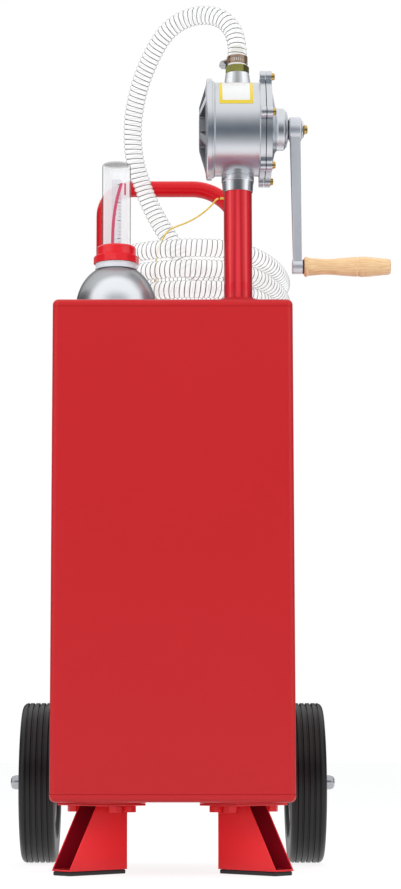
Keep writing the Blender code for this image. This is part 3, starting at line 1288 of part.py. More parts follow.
def make_hose():
    lead = lead_points()
    straight = Vector((-sin(lead_start), cos(lead_start), 0)) * 2 * hose_end_length
    inner_end = lead[0]
    straight.z = -lead_slope
    outer_end = inner_end - straight
    junction = (inner_end + outer_end) / 2
    heading = straight.normalized()
    outlet = Vector((port_x, port_y, outlet_boss_top + seat_gap + hex_height + seat_gap))
    outlet_end = outlet + Vector((0, 0, hose_end_length))

    # Free stretch: plain ends with ribs between them
    route = [outlet_end] + [Vector(point) for point in hose_route[1:]] + [outer_end]
    ribbed = smooth_path(route, hose_rib_pitch / 2)
    joint_end = junction - heading * seat_gap / 2
    path = [outlet] + ribbed + [joint_end]
    radii = [hose_radius]
    for index in range(len(ribbed)):
        radii.append(hose_radius if index % 2 == 0 else hose_valley_radius)
    if len(ribbed) % 2 == 0:
        radii[-1] = hose_radius
    radii.append(hose_radius)
    drop = place("hose_drop", tube("hose_drop", path, hose_radius, 2, radii), caddy_frame, (0, 0, 0), CLEAR)
    bore_path = [outlet - Vector((0, 0, overrun)), outlet_end] + smooth_path(route, hose_radius * 1.2)[1:-1]
    bore_path += [outer_end, joint_end + heading * overrun]
    bore = tube("hose_bore", bore_path, hose_bore_radius, 2)
    cut(drop, tool("hose_bore", bore, caddy_frame, (0, 0, 0)))

    # Coil: straight start, inner arc, turns, straight end
    coil = [junction + heading * seat_gap / 2] + smooth_path(lead, tau * lead_radius / coil_points_per_turn)[:-1]
    turns = round((coil_end_angle - lead_turn) / tau * coil_points_per_turn)
    for step in range(turns + 1):
        angle = lead_turn + (coil_end_angle - lead_turn) * step / turns
        coil.append(Vector((coil_x + coil_radius * cos(angle), coil_y + coil_radius * sin(angle),
                            coil_height(angle))))
    tail = coil[-1] + Vector((coil_tail_length, 0, 0))
    coil.append(tail)
    place("hose_coil", tube("hose_coil", coil, hose_radius, 1), caddy_frame, (0, 0, 0), CLEAR)
    gaps = []
    for first in range(len(coil)):
        for second in range(first + coil_points_per_turn // 3, len(coil)):
            gaps.append((coil[first] - coil[second]).length - 2 * hose_radius)
    print("least gap between turns of the coil: %.2f mm" % (min(gaps) / mm))
    apart = min((a - b).length for a in ribbed[:-8] for b in coil[3:]) - 2 * hose_radius
    print("least gap between free stretch and coil: %.2f mm" % (apart / mm))
    print("hose lengths: free %.3f m, coiled %.3f m" % (path_length(path), path_length(coil)))

    # Spout on the end
    bore = spout_radius - spout_wall
    spout = [(bore, 0), (spout_collar_radius, 0), (spout_collar_radius, spout_collar_length),
             (spout_radius, spout_collar_length), (spout_radius, spout_length), (bore, spout_length)]
    place("hose_spout", turned("hose_spout", spout, sides_medium), caddy_frame,
          tail + Vector((seat_gap, 0, 0)), STEEL, along_x)


def make_earth_wire(riser, top_pan):
    reach = port_x - riser_radius + riser_wall / 2 - wire_lug_x
    lug = cylinder("earth_lug", earth_lug_radius, reach, sides_small)
    join(riser, tool("earth_lug", lug, caddy_frame, (wire_lug_x, wire_lug_y, wire_lug_z), along_x))
    stud = cylinder("earth_stud", earth_stud_radius, earth_stud_height + tank_sheet / 2, 6)
    join(top_pan, tool("earth_stud", stud, caddy_frame, (earth_stud_x, earth_stud_y, tank_top - tank_sheet / 2)))
    route = [Vector((wire_lug_x - 2 * seat_gap, wire_lug_y, wire_lug_z))] + [Vector(p) for p in wire_route[1:-1]]
    stud_top = tank_top + earth_stud_height
    route.append(Vector((earth_stud_x, earth_stud_y, stud_top + seat_gap)))
    path = smooth_path(route, wire_spacing)
    place("earth_wire", tube("earth_wire", path, wire_radius, 2), caddy_frame, (0, 0, 0), YELLOW)
    print("earth wire length: %.3f m" % path_length(path))


tank_top_pan = make_tank()
make_filler()
riser_pipe = make_riser()
pump_line = make_pump()
make_crank(pump_line)
make_outlet()
make_gauge()
make_handle()
make_axle()
make_wheel(-1, "left")
make_wheel(1, "right")
make_foot(-1, "left")
make_foot(1, "right")
make_hose()
make_earth_wire(riser_pipe, tank_top_pan)
bpy.context.view_layer.update()
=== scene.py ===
"""Looks of the fuel caddy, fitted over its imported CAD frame.

Lengths are in metres: 12 * mm is 12 millimetres.
"""
from collections import namedtuple
from math import atan2, cos, pi, radians, sin, sqrt, tau

import bpy
from mathutils import Matrix, Vector


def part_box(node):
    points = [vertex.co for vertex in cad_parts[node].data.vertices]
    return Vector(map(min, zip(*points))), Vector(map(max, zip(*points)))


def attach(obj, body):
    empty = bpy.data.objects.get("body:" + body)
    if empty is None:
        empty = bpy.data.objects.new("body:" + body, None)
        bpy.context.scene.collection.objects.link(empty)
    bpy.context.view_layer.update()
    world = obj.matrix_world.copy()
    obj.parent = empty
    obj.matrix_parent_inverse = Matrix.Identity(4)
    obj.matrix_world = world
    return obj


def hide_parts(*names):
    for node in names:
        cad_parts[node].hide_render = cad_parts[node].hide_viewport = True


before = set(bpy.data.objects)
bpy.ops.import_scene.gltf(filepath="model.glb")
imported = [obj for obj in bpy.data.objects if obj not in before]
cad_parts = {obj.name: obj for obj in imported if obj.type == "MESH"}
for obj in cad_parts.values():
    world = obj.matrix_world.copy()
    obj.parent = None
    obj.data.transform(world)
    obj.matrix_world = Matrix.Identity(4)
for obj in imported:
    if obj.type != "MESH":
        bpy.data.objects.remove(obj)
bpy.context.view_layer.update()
mm = 0.001
along_x = (0, pi / 2, 0)
gap = 0.3 * mm
round_sides = 72


class Place:
    """Box of some CAD nodes at rest."""

    def __init__(self, *nodes):
        corners = [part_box(node) for node in nodes]
        self.low = Vector([min(low[axis] for low, high in corners) for axis in range(3)])
        self.high = Vector([max(high[axis] for low, high in corners) for axis in range(3)])
        self.middle = (self.low + self.high) / 2
        self.size = self.high - self.low


tank = Place("tank_wrapper", "tank_bottom_pan")
riser = Place("riser_pipe")
collar = Place("riser_collar")
end_cover = Place("pump_end_cover")
pump_y = end_cover.middle.y
pump_z = end_cover.middle.z
caddy_x = tank.middle.x
caddy_y = tank.low.y
tank_top = collar.low.z - gap


def spot(x, y, z):
    """A point given from the tank's front, middle and floor, in metres."""
    return Vector((caddy_x + x, caddy_y + y, z))


# Camera, fitted to the photograph

image_width = 401
image_height = 889
focal_px = 2246.8
principal_x_px = 172.7
camera_distance = 3.2115
camera_height = 0.1775
camera_pitch = 0.1355
sensor_mm = 36
bpy.ops.object.camera_add(location=spot(0, -camera_distance, camera_height),
                          rotation=(pi / 2 + camera_pitch, 0, 0))
camera = bpy.context.object
camera.name = "photo_camera"
camera.data.sensor_width = sensor_mm
camera.data.lens = sensor_mm * focal_px / image_height
camera.data.shift_x = (image_width / 2 - principal_x_px) / image_height
camera.data.clip_end = 100
bpy.context.scene.camera = camera


# Node helpers

def add(tree, kind, settings=None, **values):
    """A shader node, its settings and the values or links of its inputs."""
    made = tree.nodes.new(kind)
    for name, value in (settings or {}).items():
        setattr(made, name, value)
    for name, value in values.items():
        socket = made.inputs[int(name[1:])] if name[1:].isdigit() else made.inputs[name.replace("_", " ")]
        feed(tree, socket, value)
    return made


def feed(tree, socket, value):
    """Links an output to the socket, or sets its plain value."""
    if hasattr(value, "is_output"):
        tree.links.new(value, socket)
    else:
        socket.default_value = value


def group(name, inputs, outputs):
    """An empty node group with its sockets, and its two end nodes."""
    tree = bpy.data.node_groups.new(name, "ShaderNodeTree")
    for label, kind, value in inputs:
        made = tree.interface.new_socket(label, in_out="INPUT", socket_type=kind)
        if value is not None:
            made.default_value = value
    for label, kind in outputs:
        tree.interface.new_socket(label, in_out="OUTPUT", socket_type=kind)
    return tree, tree.nodes.new("NodeGroupInput"), tree.nodes.new("NodeGroupOutput")


def make_mottle():
    """Colour and roughness that wander a little over the surface."""
    tree, start, end = group("mottle", [("Vector", "NodeSocketVector", None),
                                        ("Color", "NodeSocketColor", None),
                                        ("Scale", "NodeSocketFloat", 20),
                                        ("Amount", "NodeSocketFloat", 0.05),
                                        ("Roughness", "NodeSocketFloat", 0.4),
                                        ("Spread", "NodeSocketFloat", 0.05)],
                             [("Color", "NodeSocketColor"), ("Roughness", "NodeSocketFloat")])
    link = tree.links.new
    noise = add(tree, "ShaderNodeTexNoise", {}, Vector=start.outputs["Vector"],
                Scale=start.outputs["Scale"], Detail=4.0, Roughness=0.6)
    centred = add(tree, "ShaderNodeMath", {"operation": "SUBTRACT"}, _0=noise.outputs["Fac"], _1=0.5)
    tint = add(tree, "ShaderNodeMath", {"operation": "MULTIPLY_ADD"}, _0=centred.outputs[0],
               _1=start.outputs["Amount"], _2=1.0)
    colour = add(tree, "ShaderNodeVectorMath", {"operation": "SCALE"}, _0=start.outputs["Color"])
    link(tint.outputs[0], colour.inputs["Scale"])
    rough = add(tree, "ShaderNodeMath", {"operation": "MULTIPLY_ADD"}, _0=centred.outputs[0],
                _1=start.outputs["Spread"], _2=start.outputs["Roughness"])
    link(colour.outputs[0], end.inputs["Color"])
    link(rough.outputs[0], end.inputs["Roughness"])
    return tree


def make_grain():
    """Bump from fine noise, such as orange peel, cast skin or moulded rubber."""
    tree, start, end = group("grain", [("Vector", "NodeSocketVector", None),
                                       ("Scale", "NodeSocketFloat", 200),
                                       ("Height", "NodeSocketFloat", 0.0001),
                                       ("Strength", "NodeSocketFloat", 0.3)],
                             [("Normal", "NodeSocketVector")])
    noise = add(tree, "ShaderNodeTexNoise", {}, Vector=start.outputs["Vector"],
                Scale=start.outputs["Scale"], Detail=2.0, Roughness=0.5)
    bump = add(tree, "ShaderNodeBump", {}, Strength=start.outputs["Strength"],
               Distance=start.outputs["Height"], Height=noise.outputs["Fac"])
    tree.links.new(bump.outputs["Normal"], end.inputs["Normal"])
    return tree


def make_streaks():
    """Fine lines drawn out along one axis, as brushing or wood fibre leaves."""
    tree, start, end = group("streaks", [("Vector", "NodeSocketVector", None),
                                         ("Stretch", "NodeSocketVector", None),
                                         ("Scale", "NodeSocketFloat", 400)],
                             [("Value", "NodeSocketFloat")])
    pulled = add(tree, "ShaderNodeVectorMath", {"operation": "MULTIPLY"}, _0=start.outputs["Vector"],
                 _1=start.outputs["Stretch"])
    noise = add(tree, "ShaderNodeTexNoise", {}, Vector=pulled.outputs[0], Scale=start.outputs["Scale"],
                Detail=3.0, Roughness=0.6)
    tree.links.new(noise.outputs["Fac"], end.inputs["Value"])
    return tree


mottle = make_mottle()
grain = make_grain()
streaks = make_streaks()


def use(tree, made_group, **values):
    """A node group in a material's tree, with its own values."""
    made = tree.nodes.new("ShaderNodeGroup")
    made.node_tree = made_group
    for name, value in values.items():
        feed(tree, made.inputs[name], value)
    return made


# Finishes

Skin = namedtuple("Skin", "tint tint_scale spread peel peel_scale peel_strength")
plain_skin = Skin(tint=0.05, tint_scale=20, spread=0.05, peel=0.0002, peel_scale=300, peel_strength=0.2)
enamel_skin = Skin(tint=0.02, tint_scale=6, spread=0.03, peel=0.0001, peel_scale=420, peel_strength=0.1)
cast_skin = Skin(tint=0.03, tint_scale=60, spread=0.05, peel=0.0001, peel_scale=900, peel_strength=0.2)
machined_skin = Skin(tint=0.03, tint_scale=80, spread=0.04, peel=0.0001, peel_scale=1200, peel_strength=0.1)
chrome_skin = Skin(tint=0.01, tint_scale=30, spread=0.02, peel=0.00003, peel_scale=500, peel_strength=0.05)
plated_skin = Skin(tint=0.3, tint_scale=110, spread=0.08, peel=0.0001, peel_scale=900, peel_strength=0.1)
rubber_skin = Skin(tint=0.15, tint_scale=60, spread=0.08, peel=0.0002, peel_scale=600, peel_strength=0.4)
rough_plastic_skin = Skin(tint=0.06, tint_scale=60, spread=0.04, peel=0.0002, peel_scale=700,
                          peel_strength=0.25)
plastic_skin = Skin(tint=0.03, tint_scale=60, spread=0.03, peel=0.0001, peel_scale=400, peel_strength=0.08)
foil_skin = Skin(tint=0.02, tint_scale=60, spread=0.03, peel=0.00005, peel_scale=500, peel_strength=0.05)
clear_skin = Skin(tint=0.01, tint_scale=20, spread=0.01, peel=0.00005, peel_scale=300, peel_strength=0.05)


def texture_place(tree):
    """The Object coordinates that a finish reads."""
    return [node for node in tree.nodes if node.type == "TEX_COORD"][0].outputs["Object"]


def finish(name, colour, rough, metal, skin, coat=0.0, specular=0.5):
    """A material with mottled colour and roughness and a fine bump, on Object coordinates."""
    made = bpy.data.materials.new(name)
    made.use_nodes = True
    tree = made.node_tree
    shader = tree.nodes["Principled BSDF"]
    where = tree.nodes.new("ShaderNodeTexCoord").outputs["Object"]
    mottled = use(tree, mottle, Vector=where, Color=(*colour, 1), Scale=skin.tint_scale,
                  Amount=skin.tint * 2, Roughness=rough, Spread=skin.spread * 2)
    bump = use(tree, grain, Vector=where, Scale=skin.peel_scale, Height=skin.peel,
               Strength=skin.peel_strength)
    tree.links.new(mottled.outputs["Color"], shader.inputs["Base Color"])
    tree.links.new(mottled.outputs["Roughness"], shader.inputs["Roughness"])
    tree.links.new(bump.outputs["Normal"], shader.inputs["Normal"])
    shader.inputs["Metallic"].default_value = metal
    shader.inputs["Coat Weight"].default_value = coat
    shader.inputs["Coat Roughness"].default_value = 0.1
    shader.inputs["Specular IOR Level"].default_value = specular
    made.diffuse_color = (*colour, 1)
    return made


def brushed(name, colour, rough, stretch):
    """A metal with fine lines along one axis in its colour and roughness."""
    made = finish(name, colour, rough, 1, plain_skin._replace(tint=0.03))
    tree = made.node_tree
    shader = tree.nodes["Principled BSDF"]
    amount = 0.12
    lines = use(tree, streaks, Vector=texture_place(tree), Stretch=stretch, Scale=300.0)
    share = add(tree, "ShaderNodeMath", {"operation": "MULTIPLY_ADD"}, _0=lines.outputs["Value"], _1=amount,
                _2=rough - amount / 2)
    tree.links.new(share.outputs[0], shader.inputs["Roughness"])
    bump = add(tree, "ShaderNodeBump", {}, Strength=0.15, Distance=0.00005, Height=lines.outputs["Value"])
    tree.links.new(bump.outputs["Normal"], shader.inputs["Normal"])
    return made


# Enamel
red_enamel = finish("red_enamel", (0.585, 0.013, 0.017), 0.34, 0, enamel_skin._replace(peel_strength=0.12),
                    specular=0.35)
gloss_enamel = finish("gloss_enamel", (0.66, 0.006, 0.013), 0.16, 0,
                      enamel_skin._replace(spread=0.02, peel=0.00005, peel_strength=0.06), specular=0.3)
# The feet's enamel is the red enamel made brighter: painted light for the low, weakly lit feet.
foot_enamel_painted_light = finish("foot_enamel_painted_light", (0.76, 0.022, 0.028), 0.3, 0, enamel_skin, specular=0.4)
# foot_shade is a darker copy of the feet's enamel: painted shade for the hollow of each foot.
foot_shade = finish("foot_shade", (0.26, 0.004, 0.012), 0.4, 0, enamel_skin, specular=0.2)

# Metals
cast_silver = finish("cast_silver", (0.70, 0.73, 0.77), 0.30, 1, cast_skin)
# cast_shade is cast_silver made darker: painted shade for the end cover's pockets.
cast_shade = finish("cast_shade", (0.27, 0.285, 0.31), 0.35, 1, cast_skin)
crank_metal = finish("crank_metal", (0.66, 0.69, 0.74), 0.24, 0.6,
                     cast_skin._replace(spread=0.04, peel_strength=0.15))
machined = finish("machined_face", (0.74, 0.76, 0.79), 0.2, 1, machined_skin)
chrome = finish("bright_chrome", (0.78, 0.79, 0.81), 0.11, 1, chrome_skin)
# Chrome made darker in its colour: painted shade for the duller reflections of the axle caps, shared by the
# clamp's screw.
shaded_chrome = finish("shaded_chrome", (0.42, 0.43, 0.45), 0.16, 1, chrome_skin)
brass = finish("brass", (0.68, 0.44, 0.12), 0.2, 1,
               plated_skin._replace(tint=0.05, tint_scale=120, spread=0.06))
green_zinc = finish("green_zinc", (0.34, 0.33, 0.09), 0.2, 1, plated_skin)
bronze_zinc = finish("bronze_zinc", (0.40, 0.27, 0.19), 0.24, 1, plated_skin)
zinc = finish("yellow_zinc", (0.62, 0.57, 0.38), 0.26, 1, plated_skin._replace(tint=0.12, tint_scale=90))
steel = brushed("bright_steel", (0.62, 0.63, 0.65), 0.28, (0.03, 1, 1))

# Rubber and plastics
tyre_rubber = finish("tyre_rubber", (0.007, 0.007, 0.008), 0.38, 0,
                     rubber_skin._replace(tint_scale=40, peel_scale=700, peel_strength=0.25), specular=0.4)
pad_rubber = finish("pad_rubber", (0.022, 0.022, 0.023), 0.7, 0, rubber_skin)
gasket_black = finish("gasket_black", (0.02, 0.02, 0.02), 0.6, 0,
                      rubber_skin._replace(tint=0.1, spread=0.05, peel=0.0001, peel_strength=0.3))
black_plastic = finish("black_plastic", (0.024, 0.024, 0.026), 0.42, 0, rough_plastic_skin)
vane_plastic = finish("vane_plastic", (0.05, 0.05, 0.055), 0.5, 0,
                      rough_plastic_skin._replace(peel=0.0001, peel_scale=500, peel_strength=0.2))
pale_plastic = finish("pale_plastic", (0.78, 0.80, 0.84), 0.3, 0,
                      plastic_skin._replace(tint=0.02, peel_strength=0.1))
bright_red_plastic = finish("bright_red_plastic", (0.82, 0.008, 0.018), 0.2, 0, plastic_skin, coat=0.2)
pointer_red = finish("pointer_red", (0.72, 0.08, 0.18), 0.4, 0, plastic_skin)
scale_print = finish("scale_print", (0.05, 0.05, 0.06), 0.4, 0,
                     plastic_skin._replace(tint=0.05, peel_strength=0.05))
label_white = finish("label_white", (0.82, 0.82, 0.80), 0.35, 0, foil_skin)
label_yellow = finish("label_yellow", (0.80, 0.60, 0.04), 0.35, 0, foil_skin)
wire_yellow = finish("wire_yellow", (0.98, 0.76, 0.10), 0.34, 0,
                     plastic_skin._replace(tint=0.04, tint_scale=200, spread=0.04, peel=0.00005,
                                           peel_scale=900, peel_strength=0.1))


def see_through(name, base, alpha):
    """A finish that lets most of what is behind it show."""
    made = base.copy()
    made.name = name
    made.node_tree.nodes["Principled BSDF"].inputs["Alpha"].default_value = alpha
    return made


def remap(tree, value, from_low, from_high, to_low, to_high, smooth=False):
    """A value's range stretched onto another range."""
    kind = {"interpolation_type": "SMOOTHSTEP"} if smooth else {}
    return add(tree, "ShaderNodeMapRange", kind, Value=value, From_Min=from_low, From_Max=from_high,
               To_Min=to_low, To_Max=to_high).outputs[0]


def blend(tree, share, first, second):
    """A colour that goes from the first to the second as the share goes from 0 to 1."""
    mix = add(tree, "ShaderNodeMix", {"data_type": "RGBA"}, _0=share, _6=(*first, 1), _7=(*second, 1))
    return mix.outputs[2]


def facing_ramp(tree, stops):
    """Colours or grey levels from the middle of a rounded form, as it is seen, to its outline. Fed into a
    base colour, they paint light and shade that follow the view.
    """
    facing = add(tree, "ShaderNodeLayerWeight", {}, Blend=0.5)
    shade = add(tree, "ShaderNodeValToRGB", {}, Fac=facing.outputs["Facing"])
    ramp = shade.color_ramp
    ramp.interpolation = "EASE"
    while len(ramp.elements) < len(stops):
        ramp.elements.new(0.5)
    for element, (place, colour) in zip(ramp.elements, stops):
        if not isinstance(colour, tuple):
            colour = (colour * 0.97, colour, colour * 1.04)
        element.position = place
        element.color = (*colour, 1)
    return shade.outputs["Color"]


def make_metal_with_painted_reflections(name, rough, stops):
    """A bright metal with painted reflections: its colour changes from the middle of the form, as seen, to
    its outline.
    """
    made = finish(name, (0.80, 0.82, 0.85), rough, 1, chrome_skin._replace(spread=0.03, peel=0.00005))
    shader = made.node_tree.nodes["Principled BSDF"]
    made.node_tree.links.new(facing_ramp(made.node_tree, stops), shader.inputs["Base Color"])
    return made


def make_riser_painted_gloss():
    """Thick gloss enamel on a round pipe, with upright light and dark lines painted into its colour:
    painted highlights and painted reflections that follow the view.
    """
    made = gloss_enamel.copy()
    made.name = "riser_painted_gloss"
    # Painted highlights and dark reflections: the base colour follows how squarely the pipe faces the view.
    lines = facing_ramp(made.node_tree, ((0.02, (0.84, 0.050, 0.065)), (0.05, (0.50, 0.006, 0.014)),
                                         (0.11, (0.68, 0.014, 0.026)), (0.19, (0.90, 0.075, 0.085)),
                                         (0.30, (0.72, 0.016, 0.028)), (0.62, (0.38, 0.004, 0.010))))
    made.node_tree.links.new(lines, made.node_tree.nodes["Principled BSDF"].inputs["Base Color"])
    return made


def make_clear_tube():
    """Clear thin-walled plastic: a faint veil, with dark lines of painted shade where the wall is seen
    along its length.
    """
    made = finish("clear_tube", (0.5, 0.5, 0.5), 0.06, 0, clear_skin)
    tree = made.node_tree
    shader = tree.nodes["Principled BSDF"]
    tree.links.new(facing_ramp(tree, ((0.0, 0.5), (0.6, 0.4), (0.75, 0.06))), shader.inputs["Base Color"])
    veil = facing_ramp(tree, ((0.0, 0.02), (0.58, 0.04), (0.74, 0.5), (0.86, 0.95)))
    tree.links.new(veil, shader.inputs["Alpha"])
    return made


def make_tube_inside():
    """The tube's inner wall: its far side is milky and glows with painted light, its near side isn't seen.
    """
    made = finish("tube_inside", (0.50, 0.51, 0.52), 0.3, 0, clear_skin)
    tree = made.node_tree
    shader = tree.nodes["Principled BSDF"]
    side = tree.nodes.new("ShaderNodeNewGeometry")
    milky = 0.84
    milk = add(tree, "ShaderNodeMath", {"operation": "MULTIPLY_ADD"}, _0=side.outputs["Backfacing"],
               _1=-milky, _2=milky)
    tree.links.new(milk.outputs[0], shader.inputs["Alpha"])
    # Painted light: the inner wall glows a pale grey.
    shader.inputs["Emission Color"].default_value = (0.46, 0.46, 0.465, 1)
    shader.inputs["Emission Strength"].default_value = 1.0
    return made


scale_strip_clear = see_through("scale_strip", pale_plastic, 0.28)
# These three metals paint their reflections into their colour: light in the middle of each form as seen,
# dark at its outline.
spun_dome = make_metal_with_painted_reflections(
    "spun_dome", 0.34, ((0.0, 0.97), (0.20, 0.9), (0.36, 0.5), (0.56, 0.42), (0.78, 0.1)))
turned_metal = make_metal_with_painted_reflections(
    "turned_metal", 0.26,
    ((0.0, 0.3), (0.03, 0.36), (0.075, 0.6), (0.16, 0.98), (0.36, 0.95), (0.62, 0.34), (0.85, 0.14)))
tapered_metal = make_metal_with_painted_reflections(
    "tapered_metal", 0.26,
    ((0.0, 0.3), (0.085, 0.36), (0.125, 0.6), (0.2, 0.98), (0.4, 0.95), (0.65, 0.34), (0.88, 0.14)))
riser_painted_gloss = make_riser_painted_gloss()
clear_tube = make_clear_tube()
tube_inside = make_tube_inside()


def make_beech():
    """Turned beech: fine fibres and short dark flecks running along the grip."""
    made = finish("beech", (0.83, 0.60, 0.38), 0.42, 0, plain_skin)
    tree = made.node_tree
    shader = tree.nodes["Principled BSDF"]
    where = texture_place(tree)
    fibre = use(tree, streaks, Vector=where, Stretch=(0.05, 1, 1), Scale=500.0)
    fleck = use(tree, streaks, Vector=where, Stretch=(0.2, 1, 1), Scale=1500.0)
    ramp = add(tree, "ShaderNodeValToRGB", {}, Fac=fibre.outputs["Value"])
    ramp.color_ramp.elements[0].color = (0.76, 0.45, 0.21, 1)
    ramp.color_ramp.elements[0].position = 0.3
    ramp.color_ramp.elements[1].color = (0.95, 0.65, 0.36, 1)
    ramp.color_ramp.elements[1].position = 0.62
    spots = remap(tree, fleck.outputs["Value"], 0.60, 0.70, 1.0, 0.86)
    dark = add(tree, "ShaderNodeVectorMath", {"operation": "SCALE"}, _0=ramp.outputs["Color"], Scale=spots)
    tree.links.new(dark.outputs[0], shader.inputs["Base Color"])
    bump = add(tree, "ShaderNodeBump", {}, Strength=0.12, Distance=0.0001, Height=fibre.outputs["Value"])
    tree.links.new(bump.outputs["Normal"], shader.inputs["Normal"])
    shader.inputs["Coat Weight"].default_value = 0.1
    return made


def make_hose_vinyl():
    """Milky clear vinyl with a dark line in each groove, painted shade along its outline and a painted glow
    that keeps the rest pale.

    The hose's own UV counts its ribs along V, and U goes round. The inside of the wall stays clear, so that
    only the near side's lines show.
    """
    made = bpy.data.materials.new("hose_vinyl")
    made.use_nodes = True
    tree = made.node_tree
    shader = tree.nodes["Principled BSDF"]
    uv = add(tree, "ShaderNodeUVMap", {"uv_map": "ribs"})
    parts = add(tree, "ShaderNodeSeparateXYZ", {}, Vector=uv.outputs["UV"])
    turn_share = add(tree, "ShaderNodeMath", {"operation": "ADD"}, _0=parts.outputs["X"],
                     _1=parts.outputs["Y"])
    phase = add(tree, "ShaderNodeMath", {"operation": "FRACT"}, _0=turn_share.outputs[0])
    away = add(tree, "ShaderNodeMath", {"operation": "SUBTRACT"}, _0=phase.outputs[0], _1=0.5)
    distance = add(tree, "ShaderNodeMath", {"operation": "ABSOLUTE"}, _0=away.outputs[0])
    groove = remap(tree, distance.outputs[0], 0.38, 0.455, 0.0, 1.0, smooth=True)
    # Painted shade: the hose darkens towards its outline as it is seen.
    outline = add(tree, "ShaderNodeLayerWeight", {}, Blend=0.5)
    edge = remap(tree, outline.outputs["Facing"], 0.52, 0.82, 0.0, 0.8, smooth=True)
    dark = add(tree, "ShaderNodeMath", {"operation": "MAXIMUM"}, _0=groove, _1=edge)
    alpha = remap(tree, dark.outputs[0], 0.0, 1.0, 0.72, 0.92)
    side = tree.nodes.new("ShaderNodeNewGeometry")
    front = add(tree, "ShaderNodeMath", {"operation": "SUBTRACT"}, _0=1.0, _1=side.outputs["Backfacing"])
    seen = add(tree, "ShaderNodeMath", {"operation": "MULTIPLY"}, _0=alpha, _1=front.outputs[0])
    colour = blend(tree, dark.outputs[0], (0.26, 0.26, 0.26), (0.06, 0.062, 0.065))
    # Painted light: the hose glows pale except in its grooves and along its outline.
    glow = blend(tree, dark.outputs[0], (0.80, 0.80, 0.80), (0, 0, 0))
    tree.links.new(colour, shader.inputs["Base Color"])
    tree.links.new(glow, shader.inputs["Emission Color"])
    shader.inputs["Emission Strength"].default_value = 1.0
    tree.links.new(seen.outputs[0], shader.inputs["Alpha"])
    shader.inputs["Roughness"].default_value = 0.16
    shader.inputs["Specular IOR Level"].default_value = 0.3
    return made


beech = make_beech()
hose_vinyl = make_hose_vinyl()


# Modelling helpers

def clear_selection():
    """Leaves edit mode and deselects every object."""
    if bpy.context.object and bpy.context.object.mode != "OBJECT":
        bpy.ops.object.mode_set(mode="OBJECT")
    bpy.ops.object.select_all(action="DESELECT")


def only(piece):
    """Selects this piece alone."""
    clear_selection()
    piece.select_set(True)
    bpy.context.view_layer.objects.active = piece


def edit(piece, mode="FACE", everything=False):
    """Enters edit mode on the piece with nothing or everything selected."""
    only(piece)
    bpy.ops.object.mode_set(mode="EDIT")
    bpy.ops.mesh.select_mode(type=mode)
    bpy.ops.mesh.select_all(action="SELECT" if everything else "DESELECT")


def leave():
    """Back to object mode."""
    bpy.ops.object.mode_set(mode="OBJECT")


def choose(piece, test, mode="FACE"):
    """Selects the faces, edges or vertices that pass the test, and returns to edit mode."""
    edit(piece, mode)
    leave()
    parts = {"FACE": piece.data.polygons, "EDGE": piece.data.edges, "VERT": piece.data.vertices}[mode]
    for part in parts:
        part.select = bool(test(part))
    bpy.ops.object.mode_set(mode="EDIT")


def set_down(piece, at=(0, 0, 0), look=(0, 0, 0)):
    """Turns the piece about the world's origin, moves it and writes both into its mesh."""
    only(piece)
    piece.rotation_euler = look
    piece.location = at
    bpy.ops.object.transform_apply(location=True, rotation=True, scale=True)
    return piece


def apply_last(piece):
    """Applies the modifier that was added last."""
    bpy.ops.object.modifier_apply(modifier=piece.modifiers[-1].name)


def merge_doubles(piece, distance=0.01 * mm):
    """Merges points that lie on each other and turns the faces outwards."""
    edit(piece, "VERT", True)
    bpy.ops.mesh.remove_doubles(threshold=distance)
    bpy.ops.mesh.normals_make_consistent(inside=False)
    leave()
    return piece


def soften(piece, width, segments=2, angle=30):
    """Rounds the edges that are sharper than an angle."""
    only(piece)
    bpy.ops.object.modifier_add(type="BEVEL")
    bevel = piece.modifiers[-1]
    bevel.width = width
    bevel.segments = segments
    bevel.limit_method = "ANGLE"
    bevel.angle_limit = radians(angle)
    bevel.use_clamp_overlap = True
    apply_last(piece)
    return piece


def carve(piece, cutter, operation="DIFFERENCE"):
    """Cuts the cutter from the piece, or combines the two in another way, and deletes the cutter."""
    only(piece)
    bpy.ops.object.modifier_add(type="BOOLEAN")
    boolean = piece.modifiers[-1]
    boolean.operation = operation
    boolean.solver = "EXACT"
    boolean.object = cutter
    apply_last(piece)
    bpy.data.objects.remove(cutter, do_unlink=True)
    return piece


def fuse(piece, other):
    """Makes two pieces one closed form."""
    return carve(piece, other, "UNION")


def together(pieces, name):
    """Joins pieces that don't touch into one."""
    only(pieces[0])
    for piece in pieces[1:]:
        piece.select_set(True)
    bpy.ops.object.join()
    pieces[0].name = name
    return pieces[0]


def copy_of(piece, name):
    """A copy with its own mesh."""
    made = bpy.data.objects.new(name, piece.data.copy())
    bpy.context.scene.collection.objects.link(made)
    return made


def turned(name, profile, sides=round_sides, angle=tau):
    """A lathe form: points of (radius, height) are drawn as a chain of edges and spun round Z."""
    clear_selection()
    bpy.ops.mesh.primitive_plane_add(size=mm, location=(0, 0, 0))
    piece = bpy.context.object
    piece.name = name
    edit(piece, "VERT", True)
    bpy.ops.mesh.merge(type="CENTER")
    radius, height = profile[0]
    bpy.ops.transform.translate(value=(radius, 0, height))
    for next_radius, next_height in profile[1:]:
        step = (next_radius - radius, 0, next_height - height)
        bpy.ops.mesh.extrude_vertices_move(TRANSFORM_OT_translate={"value": step})
        radius, height = next_radius, next_height
    bpy.ops.mesh.select_all(action="SELECT")
    bpy.ops.mesh.spin(steps=sides, angle=angle, center=(0, 0, 0), axis=(0, 0, 1), use_auto_merge=False)
    leave()
    return merge_doubles(piece)


def ring(name, profile, sides=round_sides):
    """A lathe form whose profile closes on itself."""
    return turned(name, list(profile) + [profile[0]], sides)


def rod(name, radius, length, sides=round_sides, start=0.0):
    """A plain round from start to start + length along Z, for cuts and unions."""
    return turned(name, [(0, start), (radius, start), (radius, start + length), (0, start + length)], sides)


